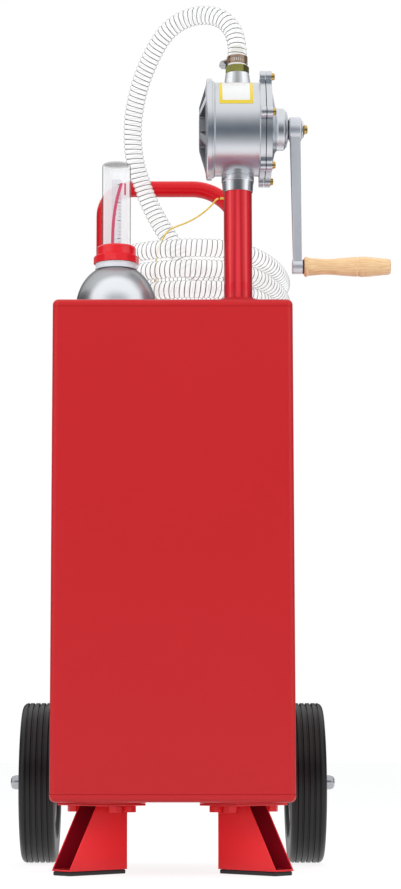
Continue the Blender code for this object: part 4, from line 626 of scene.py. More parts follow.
def prism(name, radius, length, sides):
    """A flat-sided bar that stands on Z = 0."""
    clear_selection()
    bpy.ops.mesh.primitive_cylinder_add(vertices=sides, radius=radius, depth=length,
                                        location=(0, 0, length / 2))
    piece = bpy.context.object
    piece.name = name
    only(piece)
    bpy.ops.object.transform_apply(location=True, rotation=True, scale=True)
    return piece


def block(name, low, high):
    """A box from its low to its high corner."""
    clear_selection()
    low = Vector(low)
    high = Vector(high)
    bpy.ops.mesh.primitive_cube_add(size=1, location=(low + high) / 2, scale=high - low)
    piece = bpy.context.object
    piece.name = name
    only(piece)
    bpy.ops.object.transform_apply(location=True, rotation=True, scale=True)
    return piece


def curve_arc(centre_a, centre_b, radius, start, end, steps):
    """Points (a, b) on an arc, both ends included."""
    points = []
    for step in range(steps + 1):
        angle = start + (end - start) * step / steps
        points.append((centre_a + radius * cos(angle), centre_b + radius * sin(angle)))
    return points


def upright_edges(piece, least=mm):
    """Selects the edges whose ends differ in height by more than the least."""
    points = piece.data.vertices
    choose(piece, lambda e: abs(points[e.vertices[0]].co.z - points[e.vertices[1]].co.z) > least, "EDGE")


def bevel_chosen(width, segments):
    """Rounds the chosen edges and returns to object mode."""
    bpy.ops.mesh.bevel(offset=width, segments=segments, affect="EDGES")
    leave()


def from_node(node, name):
    """A merged copy of a CAD solid, with its flat faces whole again, to bevel and finish."""
    piece = copy_of(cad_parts[node], name)
    piece.data.materials.clear()
    merge_doubles(piece, 0.02 * mm)
    edit(piece, "FACE", True)
    bpy.ops.mesh.dissolve_limited(angle_limit=radians(0.8))
    leave()
    return piece


def done(piece, rides, material, nodes=(), smooth=35):
    """Shades the piece, gives it its material, ties it to its body and hides the CAD nodes that it stands
    in for.
    """
    only(piece)
    bpy.ops.object.transform_apply(location=True, rotation=True, scale=True)
    bpy.ops.object.shade_smooth_by_angle(angle=radians(smooth))
    bpy.ops.object.modifier_add(type="WEIGHTED_NORMAL")
    piece.modifiers[-1].keep_sharp = True
    apply_last(piece)
    piece.data.materials.clear()
    piece.data.materials.append(material)
    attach(piece, rides)
    if nodes:
        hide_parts(*nodes)
    return piece


# Cords: their routes repeat the part's

hose_radius = 14.5 * mm
hose_valley_radius = 12.7 * mm
hose_bore_radius = 11.2 * mm
hose_rib_pitch = 7.4 * mm
hose_end_length = 29 * mm
clamp_rise = 2.7 * mm
hose_route = [
    (0.0980, 0.0900, 1.2300), (0.0965, 0.0905, 1.2450), (0.0910, 0.0930, 1.2645), (0.0760, 0.0980, 1.2830),
    (0.0530, 0.1060, 1.2925), (0.0270, 0.1160, 1.2925), (0.0040, 0.1260, 1.2840), (-0.0160, 0.1370, 1.2670),
    (-0.0340, 0.1510, 1.2390), (-0.0500, 0.1660, 1.2020), (-0.0600, 0.1810, 1.1610),
    (-0.0622, 0.1910, 1.1220), (-0.0580, 0.1990, 1.0850), (-0.0480, 0.2060, 1.0530),
    (-0.0350, 0.2095, 1.0205), (-0.0195, 0.2085, 0.9900), (-0.0010, 0.2045, 0.9590)]
coil_middle = (0.0347, 0.2975)
coil_radius = 137.5 * mm
coil_level_pitch = 32.2 * mm
coil_levels = 4
coil_descent_start = radians(285)
coil_descent_end = radians(375)
coil_end_angle = radians(1350)
coil_tail_length = 45 * mm
lead_radius = 110 * mm
lead_turn = radians(80)
lead_start = radians(-70)
lead_heights = (39.6 * mm, 40.2 * mm, 26 * mm, 10.8 * mm, 3.4 * mm, 0.8 * mm, 0, 0)
lead_slope = 15 * mm
wire_radius = 1.1 * mm
wire_coat = 0.2 * mm
stud_spot = (-0.024, 0.212)
wire_route = [
    (0.0690, 0.0900, 1.0015), (0.0660, 0.0915, 1.0005), (0.0600, 0.1000, 0.9950), (0.0500, 0.1120, 0.9880),
    (0.0360, 0.1290, 0.9815), (0.0210, 0.1440, 0.9770), (0.0070, 0.1590, 0.9750), (-0.0050, 0.1715, 0.9720),
    (-0.0130, 0.1800, 0.9640), (-0.0195, 0.1872, 0.9530), (-0.0245, 0.1945, 0.9400),
    (-0.0265, 0.1995, 0.9200), (-0.0262, 0.2040, 0.8950), (-0.0248, 0.2080, 0.8700),
    (-0.0240, 0.2110, 0.8500)]


def smooth_path(route, spacing):
    """Evenly spaced points on a smooth curve through the route's points."""
    knots = [Vector(point) for point in route]
    knots = [2 * knots[0] - knots[1]] + knots + [2 * knots[-1] - knots[-2]]
    fine = []
    samples = 24
    for a, b, c, d in zip(knots, knots[1:], knots[2:], knots[3:]):
        for sample in range(samples):
            t = sample / samples
            fine.append(0.5 * ((2 * b) + (c - a) * t + (2 * a - 5 * b + 4 * c - d) * t ** 2
                               + (3 * b - a - 3 * c + d) * t ** 3))
    fine.append(knots[-2])
    return even(fine, spacing)


def even(fine, spacing):
    """The same path with evenly spaced points."""
    lengths = [0]
    for first, second in zip(fine, fine[1:]):
        lengths.append(lengths[-1] + (second - first).length)
    count = max(2, round(lengths[-1] / spacing))
    path = []
    index = 0
    for step in range(count + 1):
        wanted = lengths[-1] * step / count
        while index < len(fine) - 2 and lengths[index + 1] < wanted:
            index += 1
        span = lengths[index + 1] - lengths[index]
        path.append(fine[index].lerp(fine[index + 1], min((wanted - lengths[index]) / span, 1)))
    return path


def path_length(path):
    """Length of a chain of points."""
    return sum((second - first).length for first, second in zip(path, path[1:]))


def coil_height(angle):
    """Height of the coil's centre line, falling one level in each turn's descent."""
    height = tank_top + gap + hose_radius + (coil_levels - 1) * coil_level_pitch
    for level in range(coil_levels - 1):
        share = (angle - coil_descent_start - tau * level) / (coil_descent_end - coil_descent_start)
        share = min(max(share, 0), 1)
        height -= coil_level_pitch * share * share * (3 - 2 * share)
    return height


def hose_line():
    """The hose's whole centre line in the world, and the length at which its coil starts."""
    offset = coil_radius - lead_radius
    centre = Vector((coil_middle[0] + offset * cos(lead_turn), coil_middle[1] + offset * sin(lead_turn)))
    lead = []
    steps = len(lead_heights) - 1
    for step, sink in enumerate(lead_heights):
        angle = lead_start + (lead_turn - lead_start) * step / steps
        lead.append(Vector((centre.x + lead_radius * cos(angle), centre.y + lead_radius * sin(angle),
                            coil_height(0) - sink)))
    straight = Vector((-sin(lead_start), cos(lead_start), 0)) * 2 * hose_end_length
    straight.z = -lead_slope
    outlet = Vector((hose_route[0][0], hose_route[0][1], Place("hose_clamp").low.z - clamp_rise))
    outlet_end = outlet + Vector((0, 0, hose_end_length))
    free = [outlet_end] + [Vector(point) for point in hose_route[1:]] + [lead[0] - straight]
    line = [outlet] + smooth_path(free, 4 * mm) + smooth_path(lead, 4 * mm)
    coil_at = path_length(line)
    turns = round((coil_end_angle - lead_turn) / tau * 120)
    for step in range(1, turns + 1):
        angle = lead_turn + (coil_end_angle - lead_turn) * step / turns
        line.append(Vector((coil_middle[0] + coil_radius * cos(angle),
                            coil_middle[1] + coil_radius * sin(angle), coil_height(angle))))
    line.append(line[-1] + Vector((coil_tail_length, 0, 0)))
    shift = spot(0, 0, 0)
    return [point + shift for point in line], coil_at


def frames_along(path):
    """Two unit vectors across the path at each point, carried along without twist."""
    across = Vector((0, 1, 0))
    frames = []
    for index in range(len(path)):
        heading = (path[min(index + 1, len(path) - 1)] - path[max(index - 1, 0)]).normalized()
        across = (across - heading * across.dot(heading)).normalized()
        frames.append((across, heading.cross(across)))
    return frames


def make_hose():
    """The hose as one tube: plain ends, a helix of ribs between them and a bore in its free stretch."""
    line, coil_at = hose_line()
    rings_per_rib = 5
    sides = 20
    cuff_length = 22 * mm
    cuff_fade = 8 * mm
    skin_room = 0.05 * mm
    bore_every = 4
    length = path_length(line)
    ribs = round(length / hose_rib_pitch)
    path = even(line, length / (ribs * rings_per_rib))
    frames = frames_along(path)
    step_length = length / (len(path) - 1)
    points = []
    counts = []
    for index, point in enumerate(path):
        along = index * step_length
        a, b = frames[index]
        plain = min(max((min(along, length - along) - cuff_length) / cuff_fade, 0), 1)
        for side in range(sides):
            phase = (side / sides + index / rings_per_rib) % 1
            swell = 0.5 - 0.5 * cos(tau * phase)
            depth = (hose_radius - hose_valley_radius) * (1 - swell ** 0.7) * plain
            angle = tau * side / sides
            points.append(point + (a * cos(angle) + b * sin(angle)) * (hose_radius - skin_room - depth))
        counts.append(index / rings_per_rib)
    bore_last = int(coil_at / step_length)
    bore_rings = list(range(0, bore_last, bore_every))
    outside = len(points)
    for index in bore_rings:
        a, b = frames[index]
        for side in range(sides):
            angle = tau * side / sides
            points.append(path[index] + (a * cos(angle) + b * sin(angle)) * hose_bore_radius)
    faces = []
    uvs = []

    def quad(first, second, v_first, v_second, flip=False):
        for side in range(sides):
            after = (side + 1) % sides
            corners = [first + side, first + after, second + after, second + side]
            share = [side / sides, (side + 1) / sides, (side + 1) / sides, side / sides]
            rows = [v_first, v_first, v_second, v_second]
            if flip:
                corners.reverse()
                share.reverse()
                rows.reverse()
            faces.append(corners)
            uvs.extend(zip(share, rows))

    for index in range(len(path) - 1):
        quad(index * sides, (index + 1) * sides, counts[index], counts[index + 1])
    for order in range(len(bore_rings) - 1):
        quad(outside + order * sides, outside + (order + 1) * sides, counts[bore_rings[order]],
             counts[bore_rings[order + 1]], True)
    quad(0, outside, 0, 0, True)
    last = (len(path) - 1) * sides
    faces.append(list(range(last, last + sides)))
    uvs.extend([(0, 0)] * sides)
    inner_end = outside + (len(bore_rings) - 1) * sides
    faces.append(list(range(inner_end, inner_end + sides))[::-1])
    uvs.extend([(0, 0)] * sides)
    mesh = bpy.data.meshes.new("clear_hose")
    mesh.from_pydata(points, [], faces)
    layer = mesh.uv_layers.new(name="ribs")
    for corner, value in enumerate(uvs):
        layer.data[corner].uv = value
    piece = bpy.data.objects.new("clear_hose", mesh)
    bpy.context.scene.collection.objects.link(piece)
    edit(piece, "FACE", True)
    bpy.ops.mesh.normals_make_consistent(inside=False)
    leave()
    bpy.ops.object.shade_smooth()
    mesh.materials.append(hose_vinyl)
    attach(piece, "tank")
    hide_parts("hose_drop", "hose_coil")
    return piece, path, length


def make_earth_wire():
    """Thin yellow wire from the riser's lug down to the stud on the tank top."""
    box = Place("earth_wire")
    route = [Vector(point) for point in wire_route]
    route[0].x -= 2 * gap
    route.append(Vector((*stud_spot, box.low.z)))
    path = [point + spot(0, 0, 0) for point in smooth_path(route, 5 * mm)]
    curve = bpy.data.curves.new("earth_lead", "CURVE")
    curve.dimensions = "3D"
    curve.bevel_depth = wire_radius + wire_coat
    curve.bevel_resolution = 5
    curve.use_fill_caps = True
    spline = curve.splines.new("POLY")
    spline.points.add(len(path) - 1)
    for place, point in zip(spline.points, path):
        place.co = (*point, 1)
    piece = bpy.data.objects.new("earth_lead", curve)
    bpy.context.scene.collection.objects.link(piece)
    curve.materials.append(wire_yellow)
    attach(piece, "tank")
    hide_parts("earth_wire")
    return piece, path


hose, hose_path, hose_length = make_hose()
earth_lead, earth_path = make_earth_wire()


# Tank

tank_corner = 9 * mm
pan_edge = 8 * mm
sheet = 1.5 * mm
sheet_edge = 0.3 * mm


def rounded_case(name, low, high):
    """A block with its four upright edges rounded."""
    piece = block(name, low, high)
    upright_edges(piece)
    bevel_chosen(tank_corner, 8)
    return piece


def open_shell(piece, faces_out, wall=sheet):
    """Takes the faces away that pass the test and gives the rest a wall inwards."""
    choose(piece, faces_out)
    bpy.ops.mesh.delete(type="FACE")
    leave()
    only(piece)
    bpy.ops.object.modifier_add(type="SOLIDIFY")
    piece.modifiers[-1].thickness = wall
    piece.modifiers[-1].offset = -1
    apply_last(piece)
    return piece


def make_tank():
    """Wrapper, top pan with the earth wire's stud, and bottom pan, each an open shell of sheet."""
    wall = Place("tank_wrapper")
    piece = rounded_case("tank_wall", wall.low, wall.high)
    open_shell(piece, lambda f: abs(f.normal.z) > 0.9)
    soften(piece, sheet_edge, 2)
    done(piece, "tank", red_enamel, ["tank_wrapper"])
    make_pan("tank_lid", "tank_top_pan", 1)
    make_stud()
    make_pan("tank_floor", "tank_bottom_pan", -1)


def make_pan(name, node, outward):
    """A pan with a rounded rim: outward is 1 for the top, with the filler's hole, and -1 for the bottom."""
    box = Place(node)
    low = box.low.copy()
    high = box.high.copy()
    if outward > 0:
        high.z = tank_top
    piece = rounded_case(name, low, high)
    rim = high.z if outward > 0 else low.z
    points = piece.data.vertices
    choose(piece, lambda e: all(abs(points[v].co.z - rim) < 0.1 * mm for v in e.vertices), "EDGE")
    bevel_chosen(pan_edge, 7)
    open_shell(piece, lambda f: f.normal.z * outward < -0.9)
    if outward > 0:
        neck = Place("filler_neck")
        neck_wall = 3.2 * mm
        hole = rod("neck_hole", neck.size.x / 2 - neck_wall, 50 * mm, 48, -25 * mm)
        carve(piece, set_down(hole, (neck.middle.x, neck.middle.y, tank_top)))
    soften(piece, sheet_edge, 2, 40)
    done(piece, "tank", red_enamel, [node])


def make_stud():
    """Small bolt on the tank top that holds the earth wire."""
    top = Place("tank_top_pan").high.z
    stud = prism("stud", 5 * mm, top - tank_top, 6)
    soften(stud, 0.5 * mm)
    set_down(stud, spot(*stud_spot, tank_top))
    thread = rod("stud_thread", 2.4 * mm, 0.2 * mm, 24)
    set_down(thread, spot(*stud_spot, top - 0.25 * mm))
    done(thread, "tank", steel, [])
    done(stud, "tank", zinc, [])


def make_filler():
    """Threaded neck, fluted cap with a grip bar, and the cap's gasket."""
    neck = Place("filler_neck")
    outer = neck.size.x / 2
    bore = outer - 3 * mm
    height = neck.size.z
    thread_root = outer - 1.2 * mm
    thread_start = 5 * mm
    pitch = 4 * mm
    profile = [(bore, 0), (outer, 0), (outer, 3 * mm), (thread_root, 3.6 * mm)]
    for turn in range(3):
        start = thread_start + turn * pitch
        profile += [(thread_root, start), (outer, start + 0.8 * mm), (outer, start + 1.5 * mm),
                    (thread_root, start + 2.3 * mm)]
    profile += [(thread_root, height), (bore, height)]
    piece = ring("filler_spout", profile)
    soften(piece, 0.2 * mm, 2)
    set_down(piece, (neck.middle.x, neck.middle.y, neck.low.z))
    done(piece, "tank", red_enamel, ["filler_neck"])

    cap = Place("filler_cap")
    seal = Place("cap_gasket")
    radius = cap.size.x / 2
    roof = seal.high.z + gap - cap.low.z
    top = cap.size.z
    skirt = neck.size.x / 2 + 0.6 * mm
    body_radius = radius - 0.2 * mm
    rim_round = 2.2 * mm
    dish_radius = radius * 0.58
    dish_floor = top - 1 * mm
    profile = [(skirt, 0), (body_radius, 0), (body_radius, top - rim_round), (body_radius - rim_round, top),
               (radius * 0.62, top), (dish_radius, dish_floor), (0, dish_floor), (0, roof), (skirt, roof)]
    piece = turned("screw_cap", profile + [profile[0]], 96)
    flutes = 24
    flute_reach = radius + 0.7 * mm
    cutters = []
    for flute in range(flutes):
        angle = tau * flute / flutes
        cutter = rod("cap_flute", 1.6 * mm, top * 2, 12, -top / 2)
        set_down(cutter, (flute_reach * cos(angle), flute_reach * sin(angle), -0.01 * mm))
        cutters.append(cutter)
    carve(piece, together(cutters, "cap_flutes"))
    bar_half = 3 * mm
    grip = block("cap_bar", (-radius * 0.5, -bar_half, top - 1.5 * mm),
                 (radius * 0.5, bar_half, top - 0.05 * mm))
    fuse(piece, grip)
    soften(piece, 0.35 * mm, 2, 40)
    set_down(piece, (cap.middle.x, cap.middle.y, cap.low.z))
    done(piece, "cap", black_plastic, ["filler_cap"])

    outer = seal.size.x / 2
    inner = outer - 8 * mm
    piece = ring("cap_seal_ring", [(inner, 0), (outer, 0), (outer, seal.size.z), (inner, seal.size.z)])
    soften(piece, 0.8 * mm, 3)
    set_down(piece, (seal.middle.x, seal.middle.y, seal.low.z))
    done(piece, "cap_seal", gasket_black, ["cap_gasket"])


# Riser and pump

port_x = collar.middle.x
port_y = collar.middle.y
riser_radius = riser.high.x - port_x
barrel_radius = 70.5 * mm
barrel_bore = 62 * mm
cover_radius = 75 * mm
ear_count = 6
ear_radius = 8.8 * mm
ear_reach = 80 * mm
ear_first = radians(26.5)


def make_riser():
    """Welded collar, pipe with the wire's lug, and the turned coupling under the pump."""
    radius = collar.size.x / 2
    bore = riser_radius + gap / 2
    height = collar.size.z
    weld = 3 * mm
    profile = [(bore, 0), (radius, 0), (radius, height - weld), (radius - weld, height), (bore, height)]
    piece = ring("riser_boss", profile)
    soften(piece, 0.8 * mm, 3)
    set_down(piece, (port_x, port_y, collar.low.z))
    done(piece, "tank", red_enamel, ["riser_collar"])

    pipe_wall = 2.6 * mm
    inner = riser_radius - pipe_wall
    height = riser.size.z
    piece = ring("riser_tube", [(inner, 0), (riser_radius, 0), (riser_radius, height), (inner, height)])
    soften(piece, 0.5 * mm, 2)
    set_down(piece, (port_x, port_y, riser.low.z))
    # The riser's finish paints its highlights and reflections into its colour.
    done(piece, "tank", riser_painted_gloss, ["riser_pipe"])
    lug_length = riser.size.x - riser_radius * 2 + 2 * mm
    lug = rod("riser_lug", 1.7 * mm, lug_length, 32)
    soften(lug, 0.5 * mm)
    set_down(lug, (riser.low.x, port_y, earth_path[0].z), along_x)
    done(lug, "tank", wire_yellow, [])

    box = Place("inlet_coupling")
    wide = box.size.x / 2
    slim = wide - 1.9 * mm
    height = box.size.z
    bore = Place("suction_tube").size.x / 2 + 0.4 * mm
    rim = 0.9 * mm
    room = riser_radius + 0.3 * mm
    deep = riser.high.z - box.low.z + 0.3 * mm
    profile = [(room, 0), (slim - rim * 0.4, 0), (slim, rim), (wide - 0.7 * mm, height - 7.6 * mm),
               (wide, height - 7.2 * mm), (wide, height), (bore, height), (bore, deep), (room, deep)]
    piece = ring("inlet_sleeve", profile)
    soften(piece, 0.25 * mm, 2, 25)
    set_down(piece, (box.middle.x, box.middle.y, box.low.z))
    done(piece, "tank", turned_metal, ["inlet_coupling"])


def ear_places():
    """Middles of the ears as (y, z) about the pump's axis, the first towards the front of the top."""
    places = []
    for ear in range(ear_count):
        angle = ear_first + tau * ear / ear_count
        places.append((-ear_reach * sin(angle), ear_reach * cos(angle)))
    return places


def ear_at(y, z, length):
    """A screw ear with its web towards the pump's axis."""
    ear = rod("ear", ear_radius, length, 32)
    half = ear_radius * 0.93
    web = block("web", (-half, -16 * mm, 0), (half, 0, length))
    set_down(web, (0, 0, 0), (0, 0, atan2(z, y) - pi / 2))
    fuse(ear, web)
    return set_down(ear, (y, z, 0))


def eared_plate(name, radius, length):
    """A round flange with its ears, along Z, with rounded outer edges."""
    piece = rod(name, radius, length, 96)
    for y, z in ear_places():
        fuse(piece, ear_at(y, z, length))
    return soften(piece, 1.5 * mm, 4, 40)


def on_axis(piece, x):
    """Lays a piece that was made along Z on the pump's axis, so that its plane (a, b) becomes (y, z)."""
    turn = Matrix(((0, 0, 1, 0), (1, 0, 0, 0), (0, 1, 0, 0), (0, 0, 0, 1)))
    only(piece)
    piece.matrix_world = Matrix.Translation((x, pump_y, pump_z)) @ turn
    bpy.ops.object.transform_apply(location=True, rotation=True, scale=True)
    return piece


def make_end_cover():
    """Left cover: a flange and a coned middle with six wedge pockets between its ribs."""
    depth = end_cover.size.x
    flange = end_cover.size.z / 2
    hub = 33.5 * mm
    cone_foot = 66 * mm
    cone_depth = 9.8 * mm
    flange_depth = 8 * mm
    face = depth - flange_depth
    rounding = 1.5 * mm
    shaft_room = 8 * mm
    bearing_depth = 10 * mm
    profile = [(0, 0), (hub, 0), (cone_foot, cone_depth), (flange - rounding, face),
               (flange, face + rounding), (flange, depth), (shaft_room, depth),
               (shaft_room, depth - bearing_depth), (0, depth - bearing_depth)]
    piece = turned("end_dome", profile, 96)
    inner_width = 22 * mm
    outer_width = 54 * mm
    inner_reach = 27 * mm
    outer_reach = 63 * mm
    floor = 8.8 * mm
    pocket_count = 6
    pockets = []
    for pocket in range(pocket_count):
        cutter = block("pocket", (inner_reach, -inner_width / 2, -mm),
                       (outer_reach, inner_width / 2, floor))
        for point in cutter.data.vertices:
            if point.co.x > (inner_reach + outer_reach) / 2:
                point.co.y *= outer_width / inner_width
        upright_edges(cutter)
        bevel_chosen(3 * mm, 4)
        set_down(cutter, (0, 0, 0), (0, 0, tau * pocket / pocket_count))
        pockets.append(cutter)
    carve(piece, together(pockets, "pockets"))
    soften(piece, 1.1 * mm, 3, 25)
    on_axis(piece, end_cover.low.x)
    done(piece, "tank", cast_silver, ["pump_end_cover"], 30)

    # Painted shade: the pockets' faces take cast_shade, a darker copy of the cast metal.
    piece.data.materials.append(cast_shade)
    for face in piece.data.polygons:
        from_axis = sqrt((face.center.y - pump_y) ** 2 + (face.center.z - pump_z) ** 2)
        depth_here = face.center.x - end_cover.low.x
        surface = cone_depth * max(from_axis - hub, 0) / (cone_foot - hub)
        in_ring = 20 * mm < from_axis < cone_foot
        if in_ring and depth_here - surface > 1.2 * mm and depth_here < floor + 0.1 * mm:
            face.material_index = 1


def make_pump_body():
    """Body: a bored barrel with a lip, an eared flange, an inlet boss and a tapered outlet boss."""
    box = Place("pump_body")
    length = box.size.x
    flange_length = 7.4 * mm
    bore = barrel_bore
    end_wall = 6 * mm
    lip = 73 * mm
    lip_length = 2.4 * mm
    flange = cover_radius
    fillet = 1.6 * mm
    face = length - flange_length
    profile = [(bore, 0), (lip, 0), (lip, lip_length), (barrel_radius, lip_length + 2 * mm),
               (barrel_radius, face - fillet), (barrel_radius + fillet, face), (flange, face),
               (flange, length), (bore, length)]
    piece = ring("pump_barrel", profile, 128)
    for y, z in ear_places():
        fuse(piece, set_down(ear_at(y, z, flange_length), (0, 0, face)))
    on_axis(piece, box.low.x)
    carve(piece, on_axis(rod("body_bore", bore, length - 2 * end_wall, 96), box.low.x + end_wall))
    soften(piece, 1.2 * mm, 3, 32)
    done(piece, "tank", cast_silver, ["pump_body"], 30)

    # Turned bosses, sunk into the barrel
    sunk = 5 * mm
    foot = barrel_radius - sunk
    rise = box.high.z - pump_z - foot
    top_radius = 17.9 * mm
    foot_radius = 20.8 * mm
    edge = 0.8 * mm
    boss = turned("outlet_boss", [(0, 0), (foot_radius, 0), (top_radius, rise - edge),
                                  (top_radius - edge, rise), (0, rise)], 96)
    set_down(boss, (port_x, port_y, pump_z + foot))
    done(boss, "tank", tapered_metal, [])
    seat = Place("inlet_coupling").high.z + gap
    radius = 24 * mm
    boss = turned("inlet_boss", [(0, 0), (radius - edge, 0), (radius, edge), (radius, pump_z - foot - seat),
                                 (0, pump_z - foot - seat)], 96)
    set_down(boss, (port_x, port_y, seat))
    done(boss, "tank", turned_metal, [])

    box = Place("cover_gasket")
    outer = box.size.z / 2
    piece = ring("joint_ring", [(barrel_bore, 0), (outer, 0), (outer, box.size.x),
                                (barrel_bore, box.size.x)], 96)
    on_axis(piece, box.low.x)
    done(piece, "tank", gasket_black, ["cover_gasket"])


def make_pump_cover():
    """Cover on the crank's side: an eared plate with a cone and a boss, its brass screws, the gland nut."""
    box = Place("pump_cover")
    thickness = 8.6 * mm
    cone_end = 14.6 * mm
    boss = 31.6 * mm
    boss_end = box.size.x
    chamfer = 3 * mm
    hole = 8.2 * mm
    piece = eared_plate("crank_side_cover", cover_radius, thickness)
    nose = turned("cover_nose", [(0, thickness - mm), (62 * mm, thickness - mm), (60 * mm, thickness + mm),
                                 (36 * mm, cone_end), (33 * mm, cone_end + 2 * mm),
                                 (boss, cone_end + 4 * mm), (boss, boss_end - chamfer),
                                 (boss - chamfer, boss_end), (0, boss_end)], 96)
    soften(nose, 0.8 * mm, 2, 25)
    fuse(piece, nose)
    carve(piece, rod("shaft_hole", hole, boss_end + 4 * mm, 48, -2 * mm))
    on_axis(piece, box.low.x)
    done(piece, "tank", cast_silver, ["pump_cover"], 30)

    washer = 6.2 * mm
    head_radius = 5.2 * mm
    head = turned("cover_screw", [(0, 0), (washer, 0), (washer, 1.2 * mm), (head_radius, 1.4 * mm),
                                  (head_radius, 3.9 * mm), (head_radius - mm, 4.9 * mm), (0, 5.1 * mm)], 32)
    carve(head, block("slot", (-7 * mm, -0.8 * mm, 2.4 * mm), (7 * mm, 0.8 * mm, 6 * mm)))
    soften(head, 0.25 * mm, 2, 40)
    slot_step = radians(50)
    for index, (y, z) in enumerate(ear_places()):
        screw = copy_of(head, "cover_screw_%d" % index)
        set_down(screw, (0, 0, 0), (0, 0, slot_step * index))
        set_down(screw, (y, z, 0))
        on_axis(screw, box.low.x + thickness)
        done(screw, "tank", brass, [])
    bpy.data.objects.remove(head, do_unlink=True)

    box = Place("gland_nut")
    radius = box.size.z / 2
    profile = [(hole, 0), (radius, 0), (radius, 1.6 * mm), (radius * 0.6, box.size.x * 0.8),
               (radius * 0.5, box.size.x), (hole, box.size.x)]
    piece = ring("gland", profile)
    soften(piece, 0.5 * mm, 2)
    on_axis(piece, box.low.x)
    done(piece, "tank", cast_silver, ["gland_nut"])


def make_label():
    """Bare white plate with a yellow border, wrapped on the upper front of the barrel."""
    left = caddy_x + 69.3 * mm
    right = caddy_x + 119.8 * mm
    low = radians(116)
    high = radians(162.5)
    border = 4.8 * mm
    turn = 6.2 * mm / barrel_radius
    foil = 0.25 * mm
    stand_off = 0.05 * mm
    for name, start, end, first, last, lift, material in (
            ("plate_border", left, right, low, high, stand_off, label_yellow),
            ("plate_face", left + border, right - border, low + turn * 0.3, high - turn, foil,
             label_white)):
        inner = barrel_radius + lift
        outer = inner + foil
        profile = [(inner, start), (outer, start), (outer, end), (inner, end), (inner, start)]
        piece = turned(name, profile, 24, last - first)
        choose(piece, lambda e: False, "EDGE")
        bpy.ops.mesh.select_non_manifold()
        bpy.ops.mesh.fill()
        bpy.ops.mesh.select_all(action="SELECT")
        bpy.ops.mesh.normals_make_consistent(inside=False)
        leave()
        set_down(piece, (0, 0, 0), (0, 0, last))
        on_axis(piece, 0)
        done(piece, "tank", material, [])


# Crank

hub_bore = 7.8 * mm
pin_bore = 4.2 * mm
hole_start = -20 * mm
hole_length = 60 * mm


def make_crank():
    """Arm, washer and screw on the shaft, and the turned wooden grip with a thin black washer."""
    pin = Place("grip_pin")
    make_crank_arm(Place("crank_arm"), pin)
    make_crank_washer(Place("crank_washer"))
    make_crank_screw(Place("crank_screw"))
    make_grip(Place("crank_grip"), pin.middle.z)


def make_crank_arm(box, pin):
    """A tapered bar between the rounded hub on the shaft and the small boss on the grip's pin."""
    grip_z = pin.middle.z
    hub_length = Place("crank_washer").low.x - gap - box.low.x
    hub_radius = box.high.z - pump_z
    end_start = pin.low.x
    end_length = Place("crank_grip").low.x - gap - end_start
    turn = 2.8 * mm
    outline = [(hub_bore, 0)]
    outline += [(b, a) for a, b in curve_arc(turn, hub_radius - turn, turn, pi, pi / 2, 4)]
    outline += [(b, a) for a, b in curve_arc(hub_length - turn, hub_radius - turn, turn, pi / 2, 0, 4)]
    arm = ring("crank_hub", outline + [(hub_bore, hub_length)])
    on_axis(arm, box.low.x)

    top = pump_z - hub_radius * 0.45
    upper_end = (box.low.x + hub_length / 2, 15.2 * mm, 24 * mm)
    lower_end = (end_start + end_length / 2, 12.4 * mm, 18 * mm)
    bar = block("crank_bar", (-0.5, -0.5, grip_z), (0.5, 0.5, top))
    for point in bar.data.vertices:
        middle, thickness, width = upper_end if point.co.z > (top + grip_z) / 2 else lower_end
        point.co.x = middle + point.co.x * thickness
        point.co.y = pump_y + point.co.y * width
    upright_edges(bar, 50 * mm)
    bevel_chosen(1.4 * mm, 3)
    fuse(arm, bar)

    radius = grip_z - box.low.z - 0.4 * mm
    profile = [(pin_bore, 0), (radius - mm, 0), (radius, mm), (radius, end_length - mm),
               (radius - mm, end_length), (pin_bore, end_length)]
    boss = ring("crank_end", profile)
    set_down(boss, (end_start, pump_y, grip_z), along_x)
    fuse(arm, boss)
    carve(arm, on_axis(rod("hub_hole", hub_bore, hole_length, 48, hole_start), box.low.x))
    hole = rod("pin_hole", pin_bore, hole_length, 32, hole_start)
    set_down(hole, (end_start, pump_y, grip_z), along_x)
    carve(arm, hole)
    soften(arm, 0.7 * mm, 3, 30)
    done(arm, "crank", crank_metal, ["crank_arm"], 30)


def make_crank_washer(box):
    """A domed washer under the screw's head."""
    radius = box.size.z / 2
    thick = box.size.x
    bore = 3.6 * mm
    profile = [(bore, 0), (radius, 0), (radius, 1.1 * mm), (radius * 0.9, thick * 0.5),
               (radius * 0.7, thick * 0.8), (radius * 0.5, thick), (bore, thick)]
    piece = ring("domed_washer", profile)
    soften(piece, 0.3 * mm, 2, 20)
    on_axis(piece, box.low.x)
    done(piece, "crank", chrome, ["crank_washer"])


def make_crank_screw(box):
    """A slotted round-headed screw."""
    head = 4.4 * mm
    shoulder = 2.6 * mm
    shank_radius = 3.1 * mm
    shank = box.size.x - head
    radius = box.size.z / 2
    profile = [(0, -shank), (shank_radius, -shank), (shank_radius, 0), (radius, 0), (radius, shoulder),
               (radius * 0.75, 4 * mm), (0, head)]
    piece = turned("hub_screw", profile, 48)
    carve(piece, block("hub_slot", (-6 * mm, -0.6 * mm, 3 * mm), (6 * mm, 0.6 * mm, 6 * mm)))
    soften(piece, 0.25 * mm, 2, 35)
    on_axis(piece, box.low.x + shank)
    done(piece, "crank", brass, ["crank_screw"])


